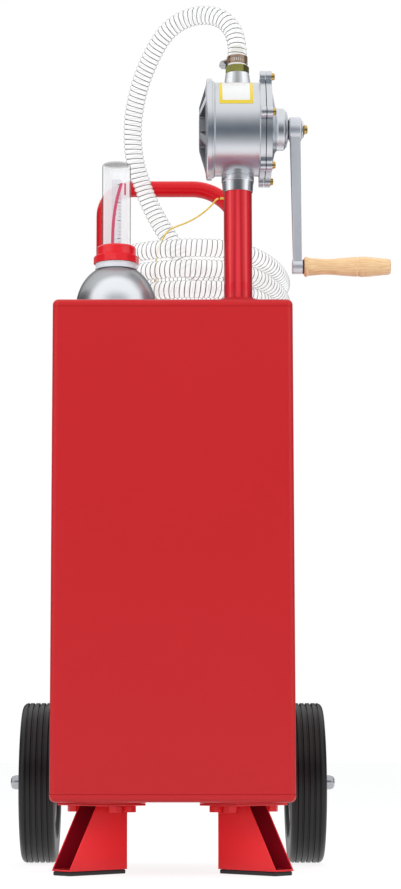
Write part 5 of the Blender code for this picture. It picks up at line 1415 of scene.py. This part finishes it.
# Outline of the grip from the crank outwards: along its axis and radius, in millimetres
grip_outline = (
    (1.4, 13.2), (2.4, 14.3), (3.4, 15.1), (4.6, 15.4), (5.8, 14.9), (6.6, 13.9), (7.4, 13.7), (8.2, 13.6),
    (8.5, 13.2), (8.8, 13.5), (10, 13.4), (16, 12.8), (24, 12.2), (34, 11.7), (42, 12), (50, 12.6),
    (60, 13.4), (70, 14.2), (78, 14.75), (80, 14.7), (81, 14.2), (82.4, 14.2), (83.4, 14.9), (84, 14.6),
    (84.6, 15), (88, 15.3), (92.2, 15.2), (92.5, 14.8), (92.8, 15.1), (94, 15.1), (102, 14.5), (111, 13.5),
    (120, 12.5), (125, 12.2), (128, 11.9), (129.4, 11.3), (130.4, 10.3), (131, 9.0))


def make_grip(box, grip_z):
    """Thin black washer, then the turned wooden grip with its fine lines and a counterbored end."""
    bore = 4.3 * mm
    seat = grip_outline[0][0] * mm
    thick = seat - 0.2 * mm
    washer = ring("grip_washer", [(bore, 0), (11 * mm, 0), (11 * mm, thick), (bore, thick)])
    soften(washer, 0.2 * mm, 2, 25)
    set_down(washer, (box.low.x, pump_y, grip_z), along_x)
    done(washer, "crank", gasket_black, [])

    end = box.size.x
    scale = end / (grip_outline[-1][0] * mm)
    counterbore = 6.8 * mm
    floor = end - 4 * mm
    profile = [(radius * mm, along * mm * scale) for along, radius in grip_outline]
    profile += [(counterbore, end), (counterbore, floor), (bore, floor), (bore, seat)]
    piece = ring("wood_grip", profile, 96)
    set_down(piece, (box.low.x, pump_y, grip_z), along_x)
    done(piece, "grip", beech, ["crank_grip"], 50)


make_tank()
make_filler()
make_riser()
make_end_cover()
make_pump_body()
make_pump_cover()
make_label()
make_crank()


# Outlet, clamp and gauge

def make_barb():
    """Hexagon that screws into the pump's top port, with a toothed tail inside the hose."""
    box = Place("hose_barb")
    hex_low = Place("pump_body").high.z + gap
    hex_height = 11 * mm
    corner = 1.6 * mm
    face_radius = 15.6 * mm
    corner_radius = 18.4 * mm
    over = hex_height + 0.4 * mm
    nut = set_down(prism("hex", box.size.x / 2, hex_height, 6), (0, 0, 0), (0, 0, pi / 6))
    profile = [(0, -mm), (face_radius, -mm), (corner_radius, corner), (corner_radius, hex_height - corner),
               (face_radius, over), (0, over)]
    carve(nut, turned("hex_chamfer", profile, 48), "INTERSECT")

    barb = 9.9 * mm
    teeth = 4
    tail_top = box.high.z - hex_low
    profile = [(0, hex_height - 2 * mm), (barb - 0.8 * mm, hex_height - 2 * mm)]
    pitch = (tail_top - hex_height) / teeth
    for tooth in range(teeth):
        low = hex_height + tooth * pitch
        profile += [(barb - 1.2 * mm, low), (barb, low + 0.6 * mm),
                    (barb - 1.1 * mm, low + pitch - 0.2 * mm)]
    profile += [(barb - 2 * mm, tail_top), (0, tail_top)]
    fuse(nut, turned("barb_tail", profile, 48))
    carve(nut, rod("bore", 7.2 * mm, 80 * mm, 32, -20 * mm))
    soften(nut, 0.5 * mm, 2, 35)
    set_down(nut, (port_x, port_y, hex_low))
    done(nut, "tank", green_zinc, ["hose_barb"])


clamp_inner = hose_radius + gap
clamp_outer = clamp_inner + 1 * mm
housing_turn = radians(145)
housing_tilt = radians(-30)
housing_half = 7.5 * mm


def make_clamp():
    """Perforated band with its screw housing."""
    box = Place("hose_clamp")
    height = box.size.z
    rolled = 0.3 * mm
    profile = [(clamp_inner, 0), (clamp_outer - rolled, 0), (clamp_outer, rolled),
               (clamp_outer, height - rolled), (clamp_outer - rolled, height), (clamp_inner, height)]
    band = ring("clamp_band", profile, 96)
    slot_count = 26
    slot_half = 0.5 * mm
    slot_end = 2.6 * mm
    slots = []
    for step in range(slot_count):
        angle = housing_turn + tau * 0.12 + tau * 0.76 * step / (slot_count - 1)
        cutter = block("band_slot", (clamp_inner - mm, -slot_half, slot_end),
                       (clamp_outer + mm, slot_half, height - slot_end))
        set_down(cutter, (0, 0, 0), (0, 0, angle))
        slots.append(cutter)
    carve(band, together(slots, "band_slots"))
    half = height / 2 - 0.2 * mm
    case = block("clamp_case", (clamp_outer - 0.5 * mm, -housing_half, -half),
                 (clamp_outer + 7.6 * mm, housing_half, half))
    soften(case, 2.2 * mm, 4)
    set_down(case, (0, 0, 0), (housing_tilt, 0, 0))
    set_down(case, (0, 0, height / 2), (0, 0, housing_turn))
    fuse(band, case)
    soften(band, 0.15 * mm, 1, 40)
    set_down(band, (port_x, port_y, box.low.z))
    done(band, "tank", bronze_zinc, ["hose_clamp"])


def make_clamp_screw():
    """Slotted hexagon head with a collar, in line with the housing."""
    radius = 6.2 * mm
    length = 5 * mm
    collar_low = 4 * mm
    rim = radius + 0.7 * mm
    profile = [(0, 0), (radius, 0), (radius, length - 0.6 * mm), (radius - 0.6 * mm, length), (0, length)]
    head = turned("clamp_head", profile, 6)
    profile = [(0, collar_low), (rim, collar_low), (rim, length), (0, length)]
    fuse(head, turned("clamp_collar", profile, 48))
    fuse(head, rod("clamp_shank", 2.8 * mm, 14 * mm, 32, 4.5 * mm))
    carve(head, block("driver_slot", (-6 * mm, -0.55 * mm, -mm), (6 * mm, 0.55 * mm, 1.6 * mm)))
    soften(head, 0.25 * mm, 2, 35)
    set_down(head, (clamp_outer + 4.1 * mm, housing_half + 5.3 * mm, 0), (pi / 2, 0, 0))
    set_down(head, (0, 0, 0), (housing_tilt, 0, 0))
    set_down(head, (port_x, port_y, Place("hose_clamp").middle.z), (0, 0, housing_turn))
    done(head, "tank", shaded_chrome, ["clamp_screw"])


# Outline of the gauge's dome from the tank up: radius and height, in millimetres
dome_outline = (
    (59.7, 0.3), (59.4, 5), (59.2, 10), (58.2, 16.6), (56.3, 23.5), (53.7, 29.9), (51.9, 34), (49.6, 38),
    (47.2, 41.7), (44.5, 45.1), (42.4, 47.7), (40.2, 50), (38, 52.1), (35.8, 54), (33.6, 55.7), (31.5, 57),
    (28, 58.4), (24, 59.3))
dome_opening = dome_outline[-1][0] * mm
dome_top = dome_outline[-1][1] * mm
gauge_x = Place("gauge_dome").middle.x
gauge_y = Place("gauge_dome").middle.y
tube_radius = 21.4 * mm


def make_gauge_dome():
    """A thin spun dome with an opening on top."""
    wall = 2.2 * mm
    outside = [(radius * mm, high * mm) for radius, high in dome_outline]
    inside = [(radius - wall, max(high - wall, outside[0][1])) for radius, high in outside[:-2]]
    piece = ring("gauge_ball", outside + [(dome_opening, dome_top - wall)] + inside[::-1], 96)
    set_down(piece, (gauge_x, gauge_y, tank_top))
    done(piece, "tank", spun_dome, ["gauge_dome"], 50)


def make_gauge_neck():
    """Pale collar that plugs the dome's opening and has a groove between two rims."""
    neck = Place("gauge_neck")
    opening = dome_opening - gap
    bore = opening - 2.5 * mm
    outer = 31.4 * mm
    grooved = outer - 0.8 * mm
    base = neck.low.z - tank_top
    seat = dome_top + gap
    top = neck.high.z - tank_top
    profile = [(bore, base), (opening, base), (opening, seat), (outer - 3 * mm, seat),
               (outer, seat - 1.6 * mm), (outer, seat + 1.8 * mm), (grooved, seat + 2.6 * mm),
               (grooved, top - 2 * mm), (outer, top - 1.2 * mm), (outer, top), (bore, top)]
    piece = ring("gauge_collar", profile, 96)
    soften(piece, 0.3 * mm, 2, 25)
    set_down(piece, (gauge_x, gauge_y, tank_top))
    done(piece, "tank", pale_plastic, ["gauge_neck"])


def make_gauge_nut():
    """Bright red nut: twelve grip facets below, a plain crown above."""
    nut = Place("gauge_nut")
    flange = nut.size.y / 2
    height = nut.size.z
    crown = 29.4 * mm
    over = flange + 0.4 * mm
    facet_top = 12.4 * mm
    base = prism("gauge_cap_nut", flange, 12 * mm, 12)
    profile = [(0, -mm), (flange - 0.6 * mm, -mm), (over, 1.2 * mm), (over, 9.6 * mm),
               (crown + 0.6 * mm, facet_top), (0, facet_top)]
    carve(base, turned("nut_chamfer", profile, 72), "INTERSECT")
    profile = [(0, 6 * mm), (crown, 6 * mm), (crown, height - 3 * mm), (crown - 1 * mm, height - 1 * mm),
               (crown - 3 * mm, height), (0, height)]
    fuse(base, turned("nut_crown", profile, 96))
    room = Place("gauge_tube").size.x / 2 + 0.3 * mm
    carve(base, rod("nut_room", room, 8 * mm, 64, -4 * mm))
    carve(base, rod("nut_through", tube_radius + 0.35 * mm, height * 2, 64, -4 * mm))
    soften(base, 0.9 * mm, 3, 25)
    set_down(base, (gauge_x, gauge_y, nut.low.z))
    done(base, "tank", bright_red_plastic, ["gauge_nut"])


def make_sight_tube():
    """Clear tube with a soft closed top. Its inner wall has a second material."""
    tube = Place("gauge_tube")
    wall = 2 * mm
    bore = tube_radius - wall
    high = tube.size.z - 3 * mm
    flange = tube.size.x / 2
    crown = 4 * mm
    roof = high - wall
    outside = [(flange, 0), (flange, 2.6 * mm), (tube_radius, 2.7 * mm), (tube_radius, high - crown)]
    outside += curve_arc(tube_radius - crown, high - crown, crown, 0, pi / 2, 6)[1:] + [(0, high)]
    inside = [(0, roof), (bore - 2 * mm, roof), (bore - 0.6 * mm, roof - 0.6 * mm), (bore, roof - 2 * mm),
              (bore, 0)]
    piece = ring("sight_tube", outside + inside, 96)
    set_down(piece, (gauge_x, gauge_y, tube.low.z))
    done(piece, "tank", clear_tube, ["gauge_tube"], 40)
    piece.data.materials.append(tube_inside)
    for face in piece.data.polygons:
        from_axis = sqrt((face.center.x - gauge_x) ** 2 + (face.center.y - gauge_y) ** 2)
        if from_axis < bore + 0.3 * mm and abs(face.normal.z) < 0.5:
            face.material_index = 1


def make_scale():
    """Scale strip with plain ticks, every fifth one long."""
    strip = Place("gauge_scale")
    piece = from_node("gauge_scale", "scale_strip")
    soften(piece, 0.25 * mm, 2)
    done(piece, "tank", scale_strip_clear, ["gauge_scale"])
    low = strip.low.z + 10 * mm
    high = strip.high.z - 8 * mm
    right = strip.high.x - 1.4 * mm
    raised = 0.12 * mm
    sunk = 0.05 * mm
    tick_count = 21
    ticks = []
    for step in range(tick_count):
        level = low + (high - low) * step / (tick_count - 1)
        wide, half = (4.6 * mm, 0.45 * mm) if step % 5 == 0 else (2.9 * mm, 0.3 * mm)
        ticks.append(block("tick", (right - wide, strip.low.y - raised, level - half),
                           (right, strip.low.y + sunk, level + half)))
    done(together(ticks, "scale_ticks"), "tank", scale_print, [])


def make_pointer():
    """A thin blade that curves over to the scale as it rises, a second short edge, and their rod."""
    box = Place("gauge_pointer")
    blade_x = gauge_x - 5.5 * mm
    blade_y = Place("gauge_scale").middle.y - 10 * mm
    blade_low = tank_top + 96 * mm
    blade_high = box.high.z
    steps = 20
    half = 1 * mm
    for name, x, low, high, lean, wide in (
            ("indicator_blade", blade_x, blade_low, blade_high, 13 * mm, 4.6 * mm),
            ("indicator_edge", gauge_x + 13 * mm, blade_high - 18 * mm, blade_high, 0, 2.6 * mm)):
        piece = block(name, (x - wide / 2, blade_y - half, low), (x + wide / 2, blade_y + half, high))
        for step in range(1, steps):
            edit(piece, "FACE", True)
            bpy.ops.mesh.bisect(plane_co=(0, 0, low + (high - low) * step / steps), plane_no=(0, 0, 1))
            leave()
        for point in piece.data.vertices:
            rise = max((point.co.z - low) / (high - low), 0)
            point.co.x += lean * rise ** 2.4
        soften(piece, 0.4 * mm, 2, 40)
        done(piece, "indicator", pointer_red, [])
    stem = rod("indicator_rod", 1.3 * mm, blade_low + 4 * mm - box.low.z, 24)
    soften(stem, 0.2 * mm, 2)
    set_down(stem, (blade_x, blade_y, box.low.z))
    done(stem, "indicator", pointer_red, ["gauge_pointer"])


# Handle, wheels and feet

def make_handle():
    """One tube with two legs, its right bend wider than its left one, and two saddles a leg."""
    box = Place("push_handle")
    radius = box.size.y / 2
    bend = 46 * mm
    wide_bend = 82 * mm
    wall = 2 * mm
    middle_y = box.middle.y
    left = box.low.x + radius
    right = box.high.x - radius
    bar = box.high.z - radius
    clear_selection()
    bpy.ops.mesh.primitive_circle_add(vertices=48, radius=radius, location=(left, middle_y, box.low.z))
    piece = bpy.context.object
    piece.name = "push_bar"
    edit(piece, "EDGE", True)
    lengthen((0, 0, bar - bend - box.low.z))
    bpy.ops.mesh.spin(steps=14, angle=-pi / 2, center=(left + bend, middle_y, bar - bend), axis=(0, 1, 0))
    lengthen((right - left - bend - wide_bend, 0, 0))
    bpy.ops.mesh.spin(steps=18, angle=-pi / 2, center=(right - wide_bend, middle_y, bar - wide_bend),
                      axis=(0, 1, 0))
    lengthen((0, 0, box.low.z - bar + wide_bend))
    leave()
    merge_doubles(piece)
    only(piece)
    bpy.ops.object.modifier_add(type="SOLIDIFY")
    piece.modifiers[-1].thickness = wall
    piece.modifiers[-1].offset = -1
    apply_last(piece)
    soften(piece, 0.5 * mm, 2, 50)
    done(piece, "tank", gloss_enamel, ["push_handle"], 40)
    for level in ("lower", "upper"):
        for side, leg in (("left", left), ("right", right)):
            make_saddle("%s_%s" % (level, side), leg, middle_y, radius + gap)


def lengthen(step):
    """Extrudes the selected edges by one step."""
    bpy.ops.mesh.extrude_edges_move(TRANSFORM_OT_translate={"value": step})


strap_sheet = 2.5 * mm
flange_reach = 16 * mm
bolt_reach = 8 * mm


def make_saddle(name, leg, middle_y, inner):
    """Strap bent round a leg: half a ring with two flanges, each with a bolt."""
    node = "handle_saddle_" + name
    place = Place(node)
    outer = inner + strap_sheet
    back = place.low.y
    height = place.size.z
    flange_low = back - middle_y
    wide = 100 * mm
    overlap = 0.2 * mm
    strap = ring("strap", [(inner, 0), (outer, 0), (outer, height), (inner, height)], 64)
    carve(strap, block("strap_cut", (-wide, -wide, -mm), (wide, 0, height + mm)))
    for end in (-1, 1):
        side_wall = block("strap_side", (inner if end > 0 else -outer, flange_low, 0),
                          (outer if end > 0 else -inner, overlap, height))
        fuse(strap, side_wall)
        near = inner + mm
        far = outer + flange_reach
        flange = block("strap_flange", (near if end > 0 else -far, flange_low, 0),
                       (far if end > 0 else -near, flange_low + strap_sheet, height))
        points = flange.data.vertices
        choose(flange, lambda e: all(abs(points[v].co.x - far * end) < 0.1 * mm for v in e.vertices)
               and abs(points[e.vertices[0]].co.y - points[e.vertices[1]].co.y) > mm, "EDGE")
        bevel_chosen(5 * mm, 6)
        fuse(strap, flange)
    soften(strap, 0.6 * mm, 3, 35)
    set_down(strap, (leg, middle_y, place.low.z))
    strap.name = "saddle_" + name
    done(strap, "tank", red_enamel, [node])

    crown = 3.1 * mm
    for end in (-1, 1):
        head = prism("saddle_bolt_%s_%d" % (name, end), 5.2 * mm, 3 * mm, 6)
        profile = [(0, -mm), (6 * mm, -mm), (6 * mm, 2.2 * mm), (4.2 * mm, crown), (0, crown)]
        carve(head, turned("bolt_dome", profile, 32), "INTERSECT")
        soften(head, 0.25 * mm, 2, 35)
        set_down(head, (0, 0, 0), (-pi / 2, 0, 0))
        set_down(head, (leg + end * (outer + bolt_reach), back + strap_sheet, place.middle.z))
        done(head, "tank", steel, [])


def make_wheels():
    """Axle, then the bracket, tyre, rim and cap of each side."""
    axle = Place("axle")
    piece = rod("axle_bar", axle.size.z / 2, axle.size.x, 48)
    soften(piece, 0.6 * mm, 2)
    set_down(piece, (axle.low.x, axle.middle.y, axle.middle.z), along_x)
    done(piece, "tank", steel, ["axle"])
    for side, name in ((-1, "left"), (1, "right")):
        piece = from_node("axle_bracket_" + name, "axle_hanger_" + name)
        soften(piece, 0.8 * mm, 3, 40)
        done(piece, "tank", red_enamel, ["axle_bracket_" + name])
        outward = along_x if side > 0 else (0, -pi / 2, 0)
        make_tyre(name, outward)
        make_rim(name, outward)
        make_axle_cap(name, side, outward, axle)


bead_radius = 74.3 * mm
tread_turn = 9 * mm

# Raised lines on a tyre's wall: height above the bead and depth below the widest place, in millimetres
wall_lines = ((0, 8), (5, 5), (9, 2), (11, 1.2), (13, 1.2), (14, 0.2), (16.5, 0.2), (17.5, 1))


def make_tyre(name, outward):
    """Rounded shoulders, five grooves round the tread and raised lines on each wall."""
    tyre = Place("tyre_" + name)
    ground = tyre.size.z / 2
    half = tyre.size.x / 2
    inner_wall = [(bead_radius + up * mm, -half + down * mm) for up, down in wall_lines]
    inner_wall.append((ground - 20 * mm, -half + 0.6 * mm))
    centre = ground - tread_turn
    profile = list(inner_wall)
    profile += [(a, b) for b, a in curve_arc(-half + tread_turn, centre, tread_turn, pi, pi / 2, 8)]
    pitch = 9 * mm
    depth = 3.2 * mm
    for groove in range(5):
        middle = (groove - 2) * pitch
        profile += [(ground, middle - 1.9 * mm), (ground - 0.5 * mm, middle - 1.4 * mm),
                    (ground - depth, middle - 0.9 * mm), (ground - depth, middle + 0.9 * mm),
                    (ground - 0.5 * mm, middle + 1.4 * mm), (ground, middle + 1.9 * mm)]
    profile += [(a, b) for b, a in curve_arc(half - tread_turn, centre, tread_turn, pi / 2, 0, 8)]
    profile += [(a, -b) for a, b in inner_wall][::-1]
    piece = ring("tyre_ring_" + name, profile, 128)
    set_down(piece, tyre.middle, outward)
    done(piece, "wheel_" + name, tyre_rubber, ["tyre_" + name], 30)


disc_offset = 10 * mm
rim_hub_out = 31 * mm


def make_rim(name, outward):
    """Pressed steel with a rolled lip, a dished disc with a raised band, and a hub tube."""
    rim = Place("rim_" + name)
    lip = rim.size.z / 2
    seat_radius = 74 * mm
    wall = 2.4 * mm
    high = 22.5 * mm
    low = -high
    inside = seat_radius - wall
    hub = 17 * mm
    bore = 8.6 * mm
    disc_half = 1.2 * mm
    hub_in = -(rim.size.x - rim_hub_out)
    profile = [(lip, high), (lip - 1.2 * mm, high), (seat_radius, high - wall), (seat_radius, low + wall),
               (lip, low), (inside, low), (inside, -disc_offset - disc_half),
               (inside - 6 * mm, -disc_offset + 4 * mm), (inside - 22 * mm, disc_offset - disc_half),
               (hub, disc_offset - disc_half), (hub, hub_in), (bore, hub_in), (bore, rim_hub_out),
               (hub, rim_hub_out), (hub, disc_offset + disc_half),
               (inside - 22 * mm, disc_offset + disc_half), (inside - 6 * mm, -disc_offset + 6.4 * mm),
               (inside, -disc_offset + disc_half), (inside, high)]
    piece = ring("rim_disc_" + name, profile, 96)
    soften(piece, 0.6 * mm, 3, 25)
    set_down(piece, Place("tyre_" + name).middle, outward)
    done(piece, "wheel_" + name, cast_silver, ["rim_" + name], 40)


def make_axle_cap(name, side, outward, axle):
    """Bright push cap on the axle's end."""
    cap = Place("axle_cap_" + name)
    radius = cap.size.z / 2
    deep = cap.size.x
    bore = axle.size.z / 2 + gap
    start_x = cap.high.x if side < 0 else cap.low.x
    inner_depth = abs((axle.low.x if side < 0 else axle.high.x) - start_x) + gap
    profile = [(bore, 0), (radius, 0), (radius, 1.4 * mm), (radius * 0.78, 2.2 * mm),
               (radius * 0.72, 4 * mm), (radius * 0.70, deep * 0.62), (radius * 0.60, deep * 0.86),
               (radius * 0.36, deep * 0.97), (0, deep), (0, inner_depth), (bore, inner_depth)]
    piece = ring("axle_end_" + name, profile, 64)
    soften(piece, 0.5 * mm, 3, 25)
    set_down(piece, (start_x, axle.middle.y, axle.middle.z), outward)
    done(piece, "tank", shaded_chrome, ["axle_cap_" + name], 50)


foot_turn = radians(45)
foot_sheet = 2.5 * mm
foot_hollow = 34 * mm
foot_sole_top = 9.5 * mm


def shade_channel(piece, side):
    """Paints shade into the hollow of the pressed foot: its inner faces take a darker copy of the enamel.
    """
    open_way = Vector((side * sin(foot_turn), -cos(foot_turn), 0))
    across = Vector((cos(foot_turn), side * sin(foot_turn), 0))
    sole = [point.co for point in piece.data.vertices if point.co.z < foot_sole_top]
    back = min(point.dot(open_way) for point in sole)
    middle = (min(point.dot(across) for point in sole) + max(point.dot(across) for point in sole)) / 2
    piece.data.materials.append(foot_shade)
    half = foot_hollow / 2 + mm / 2
    for face in piece.data.polygons:
        behind = face.normal.dot(open_way) > 0.9 and face.center.dot(open_way) - back < 2 * foot_sheet
        beside = abs(face.normal.dot(across)) > 0.9 and abs(face.center.dot(across) - middle) < half
        under = face.normal.z > 0.9 and face.center.z < foot_sole_top
        if behind or beside or under:
            face.material_index = 1


def make_feet():
    """Pressed channels with their bolted plates and rubber pads."""
    for name in ("left", "right"):
        piece = from_node("foot_" + name, "foot_channel_" + name)
        soften(piece, 0.9 * mm, 3, 35)
        done(piece, "tank", foot_enamel_painted_light, ["foot_" + name])
        shade_channel(piece, -1 if name == "left" else 1)
        piece = from_node("foot_plate_" + name, "foot_mount_" + name)
        soften(piece, 0.5 * mm, 2, 35)
        done(piece, "tank", foot_enamel_painted_light, ["foot_plate_" + name])
        piece = from_node("foot_pad_" + name, "foot_sole_" + name)
        soften(piece, 1.6 * mm, 3, 35)
        done(piece, "tank", pad_rubber, ["foot_pad_" + name])


def make_spout():
    """Short metal tube with a grooved collar, in the hose's free end."""
    box = Place("hose_spout")
    length = box.size.x
    collar_radius = box.size.z / 2
    grooved = collar_radius - 1 * mm
    spout = 11 * mm
    bore = spout - 1.5 * mm
    profile = [(bore, 0), (collar_radius, 0), (collar_radius, 3 * mm), (grooved, 4 * mm),
               (grooved, 10 * mm), (collar_radius, 11 * mm), (collar_radius, 14 * mm),
               (spout + 0.4 * mm, 15 * mm), (spout, 17 * mm), (spout, length - 1 * mm),
               (spout - 0.6 * mm, length), (bore, length)]
    piece = ring("spout_tip", profile, 64)
    soften(piece, 0.3 * mm, 2, 25)
    set_down(piece, (box.low.x, box.middle.y, box.middle.z), along_x)
    return done(piece, "tank", chrome, ["hose_spout"])


def dress_inner_nodes():
    """Inner CAD nodes keep their shape and take a finish here."""
    finishes = {"suction_tube": steel, "gauge_stem": steel, "pump_shaft": steel, "pump_rotor": machined,
                "vane_a": vane_plastic, "vane_b": vane_plastic, "float_arm": steel,
                "float_ball": black_plastic, "grip_pin": steel}
    for node, material in finishes.items():
        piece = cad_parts[node]
        for place in piece.material_slots:
            place.material = material


make_barb()
make_clamp()
make_clamp_screw()
make_gauge_dome()
make_gauge_neck()
make_gauge_nut()
make_sight_tube()
make_scale()
make_pointer()
make_handle()
make_wheels()
make_feet()
spout_tip = make_spout()
dress_inner_nodes()


# Floor, world and lamps

def seen_directly(tree):
    """1 for camera, glossy and transmission rays, 0 for the others."""
    rays = tree.nodes.new("ShaderNodeLightPath")
    seen = rays.outputs["Is Camera Ray"]
    for kind in ("Is Glossy Ray", "Is Transmission Ray"):
        seen = add(tree, "ShaderNodeMath", {"operation": "MAXIMUM"}, _0=seen,
                   _1=rays.outputs[kind]).outputs[0]
    return seen


def mix_shaders(tree, share, first, second):
    """The first shader where the share is 0, the second where it is 1."""
    mix = add(tree, "ShaderNodeMixShader", {}, _0=share)
    tree.links.new(first.outputs[0], mix.inputs[1])
    tree.links.new(second.outputs[0], mix.inputs[2])
    return mix.outputs[0]


def make_floor():
    """A white floor that glows where it is seen and throws less light on the caddy."""
    clear_selection()
    bpy.ops.mesh.primitive_plane_add(size=60, location=(0, 0, -0.5 * mm))
    floor = bpy.context.object
    floor.name = "floor"
    made = bpy.data.materials.new("pale_floor")
    made.use_nodes = True
    tree = made.node_tree
    shader = tree.nodes["Principled BSDF"]
    shader.inputs["Base Color"].default_value = (0.8, 0.8, 0.8, 1)
    shader.inputs["Roughness"].default_value = 0.9
    shader.inputs["Specular IOR Level"].default_value = 0.0
    glow = add(tree, "ShaderNodeEmission", {}, Color=(1, 1, 1, 1), Strength=1.2)
    share = add(tree, "ShaderNodeMath", {"operation": "MULTIPLY"}, _0=seen_directly(tree), _1=0.72)
    tree.links.new(mix_shaders(tree, share.outputs[0], shader, glow),
                   tree.nodes["Material Output"].inputs["Surface"])
    floor.data.materials.append(made)


def make_world():
    """White where it is seen, softer and a little blue as a lamp."""
    world = bpy.data.worlds.new("studio")
    bpy.context.scene.world = world
    world.use_nodes = True
    tree = world.node_tree
    tree.nodes.clear()
    seen = seen_directly(tree)
    soft = add(tree, "ShaderNodeBackground", {}, Color=(0.93, 0.96, 1.0, 1), Strength=0.55)
    white = add(tree, "ShaderNodeBackground", {}, Color=(1, 1, 1, 1), Strength=1.0)
    out = tree.nodes.new("ShaderNodeOutputWorld")
    tree.links.new(mix_shaders(tree, seen, soft, white), out.inputs["Surface"])


def make_lamps():
    """Four wide lamps round the caddy and a weak narrow one on its feet. Reflections don't show them."""
    for name, at, aim, wide, tall, spread, power in (
            ("key", (-1.9, -2.6, 2.4), (0, 0, 0.7), 1.8, 1.8, pi, 48),
            ("fill", (2.4, -2.2, 1.4), (0, 0, 0.6), 1.6, 1.6, pi, 22),
            ("top", (0.2, 0.4, 3.2), (0, 0, 0.9), 1.6, 1.6, pi, 26),
            ("back", (0.6, 2.8, 2.0), (0, 0, 0.8), 1.8, 1.8, pi, 26),
            ("feet", (caddy_x, -0.8, 0.045), (caddy_x, 0, 0.045), 0.36, 0.03, radians(14), 0.04)):
        clear_selection()
        heading = Vector(aim) - Vector(at)
        turn = heading.to_track_quat("-Z", "Y").to_euler()
        bpy.ops.object.light_add(type="AREA", location=at, rotation=turn)
        lamp = bpy.context.object
        lamp.name = name + "_lamp"
        lamp.data.shape = "RECTANGLE"
        lamp.data.size = wide
        lamp.data.size_y = tall
        lamp.data.spread = spread
        lamp.data.energy = power
        lamp.visible_glossy = False


def card_material(piece):
    """Makes the piece a plain glowing card that only reflections see, and returns its node tree."""
    card = bpy.data.materials.new(piece.name)
    card.use_nodes = True
    tree = card.node_tree
    tree.nodes.clear()
    glow = add(tree, "ShaderNodeEmission", {}, Strength=1.0)
    out = tree.nodes.new("ShaderNodeOutputMaterial")
    tree.links.new(glow.outputs[0], out.inputs["Surface"])
    piece.data.materials.append(card)
    piece.visible_camera = False
    piece.visible_diffuse = False
    piece.visible_shadow = False
    piece.visible_transmission = False
    return tree


def make_cards():
    """Plain cards that only reflections see, so that bright metal has edges. The pink one under the pump is
    a painted reflection.
    """
    for name, low, high, colour in (
            ("left_card", (-3.2, -0.6, 0), (-3.19, 3.6, 2.6), (0.12, 0.125, 0.135)),
            ("right_card", (3.19, -0.6, 0), (3.2, 3.6, 2.6), (0.12, 0.125, 0.135)),
            ("back_card", (-3, 4, 0), (3, 4.01, 2.6), (0.14, 0.145, 0.155)),
            # This card glows pink under the pump: a painted reflection of the lit tank top in the pump's
            # underside.
            ("pink_painted_reflection_card", (-0.01, -0.25, 0.868), (0.13, -0.07, 0.869), (0.34, 0.23, 0.31))):
        tree = card_material(block(name, low, high))
        tree.nodes["Emission"].inputs["Color"].default_value = (*colour, 1)


def make_front_card():
    """Leans over the floor, darkest a third of the way up its middle and white at its rim."""
    length = 2.675
    lean = 0.55
    middle_half = 0.4
    half = 1.8
    piece = block("front_card", (-1.9, -0.001, 0), (1.9, 0, length))
    tree = card_material(piece)
    where = tree.nodes.new("ShaderNodeTexCoord").outputs["Object"]
    parts = add(tree, "ShaderNodeSeparateXYZ", {}, Vector=where)
    up = add(tree, "ShaderNodeMath", {"operation": "DIVIDE"}, _0=parts.outputs["Z"], _1=length)
    levels = add(tree, "ShaderNodeValToRGB", {}, Fac=up.outputs[0])
    ramp = levels.color_ramp
    ramp.interpolation = "B_SPLINE"
    for place, dark in ((0.10, 0.45), (0.26, 1.0), (0.38, 1.0), (0.58, 0.6), (0.82, 0.2)):
        stop = ramp.elements.new(place)
        stop.color = (dark, dark, dark, 1)
    ramp.elements[0].color = (0, 0, 0, 1)
    ramp.elements[-1].color = (0, 0, 0, 1)
    off = add(tree, "ShaderNodeMath", {"operation": "ABSOLUTE"}, _0=parts.outputs["X"])
    side = remap(tree, off.outputs[0], middle_half, half, 1, 0, True)
    dark = add(tree, "ShaderNodeMath", {"operation": "MULTIPLY"}, _0=levels.outputs["Color"], _1=side)
    shade = blend(tree, dark.outputs[0], (1, 1, 1), (0.06, 0.08, 0.11))
    tree.links.new(shade, tree.nodes["Emission"].inputs["Color"])
    piece.location = (0.05, -0.95, 0.02)
    piece.rotation_euler = (lean, 0, 0)


make_floor()
make_world()
make_lamps()
make_cards()
make_front_card()
scene = bpy.context.scene
scene.view_settings.view_transform = "Standard"
clear_selection()
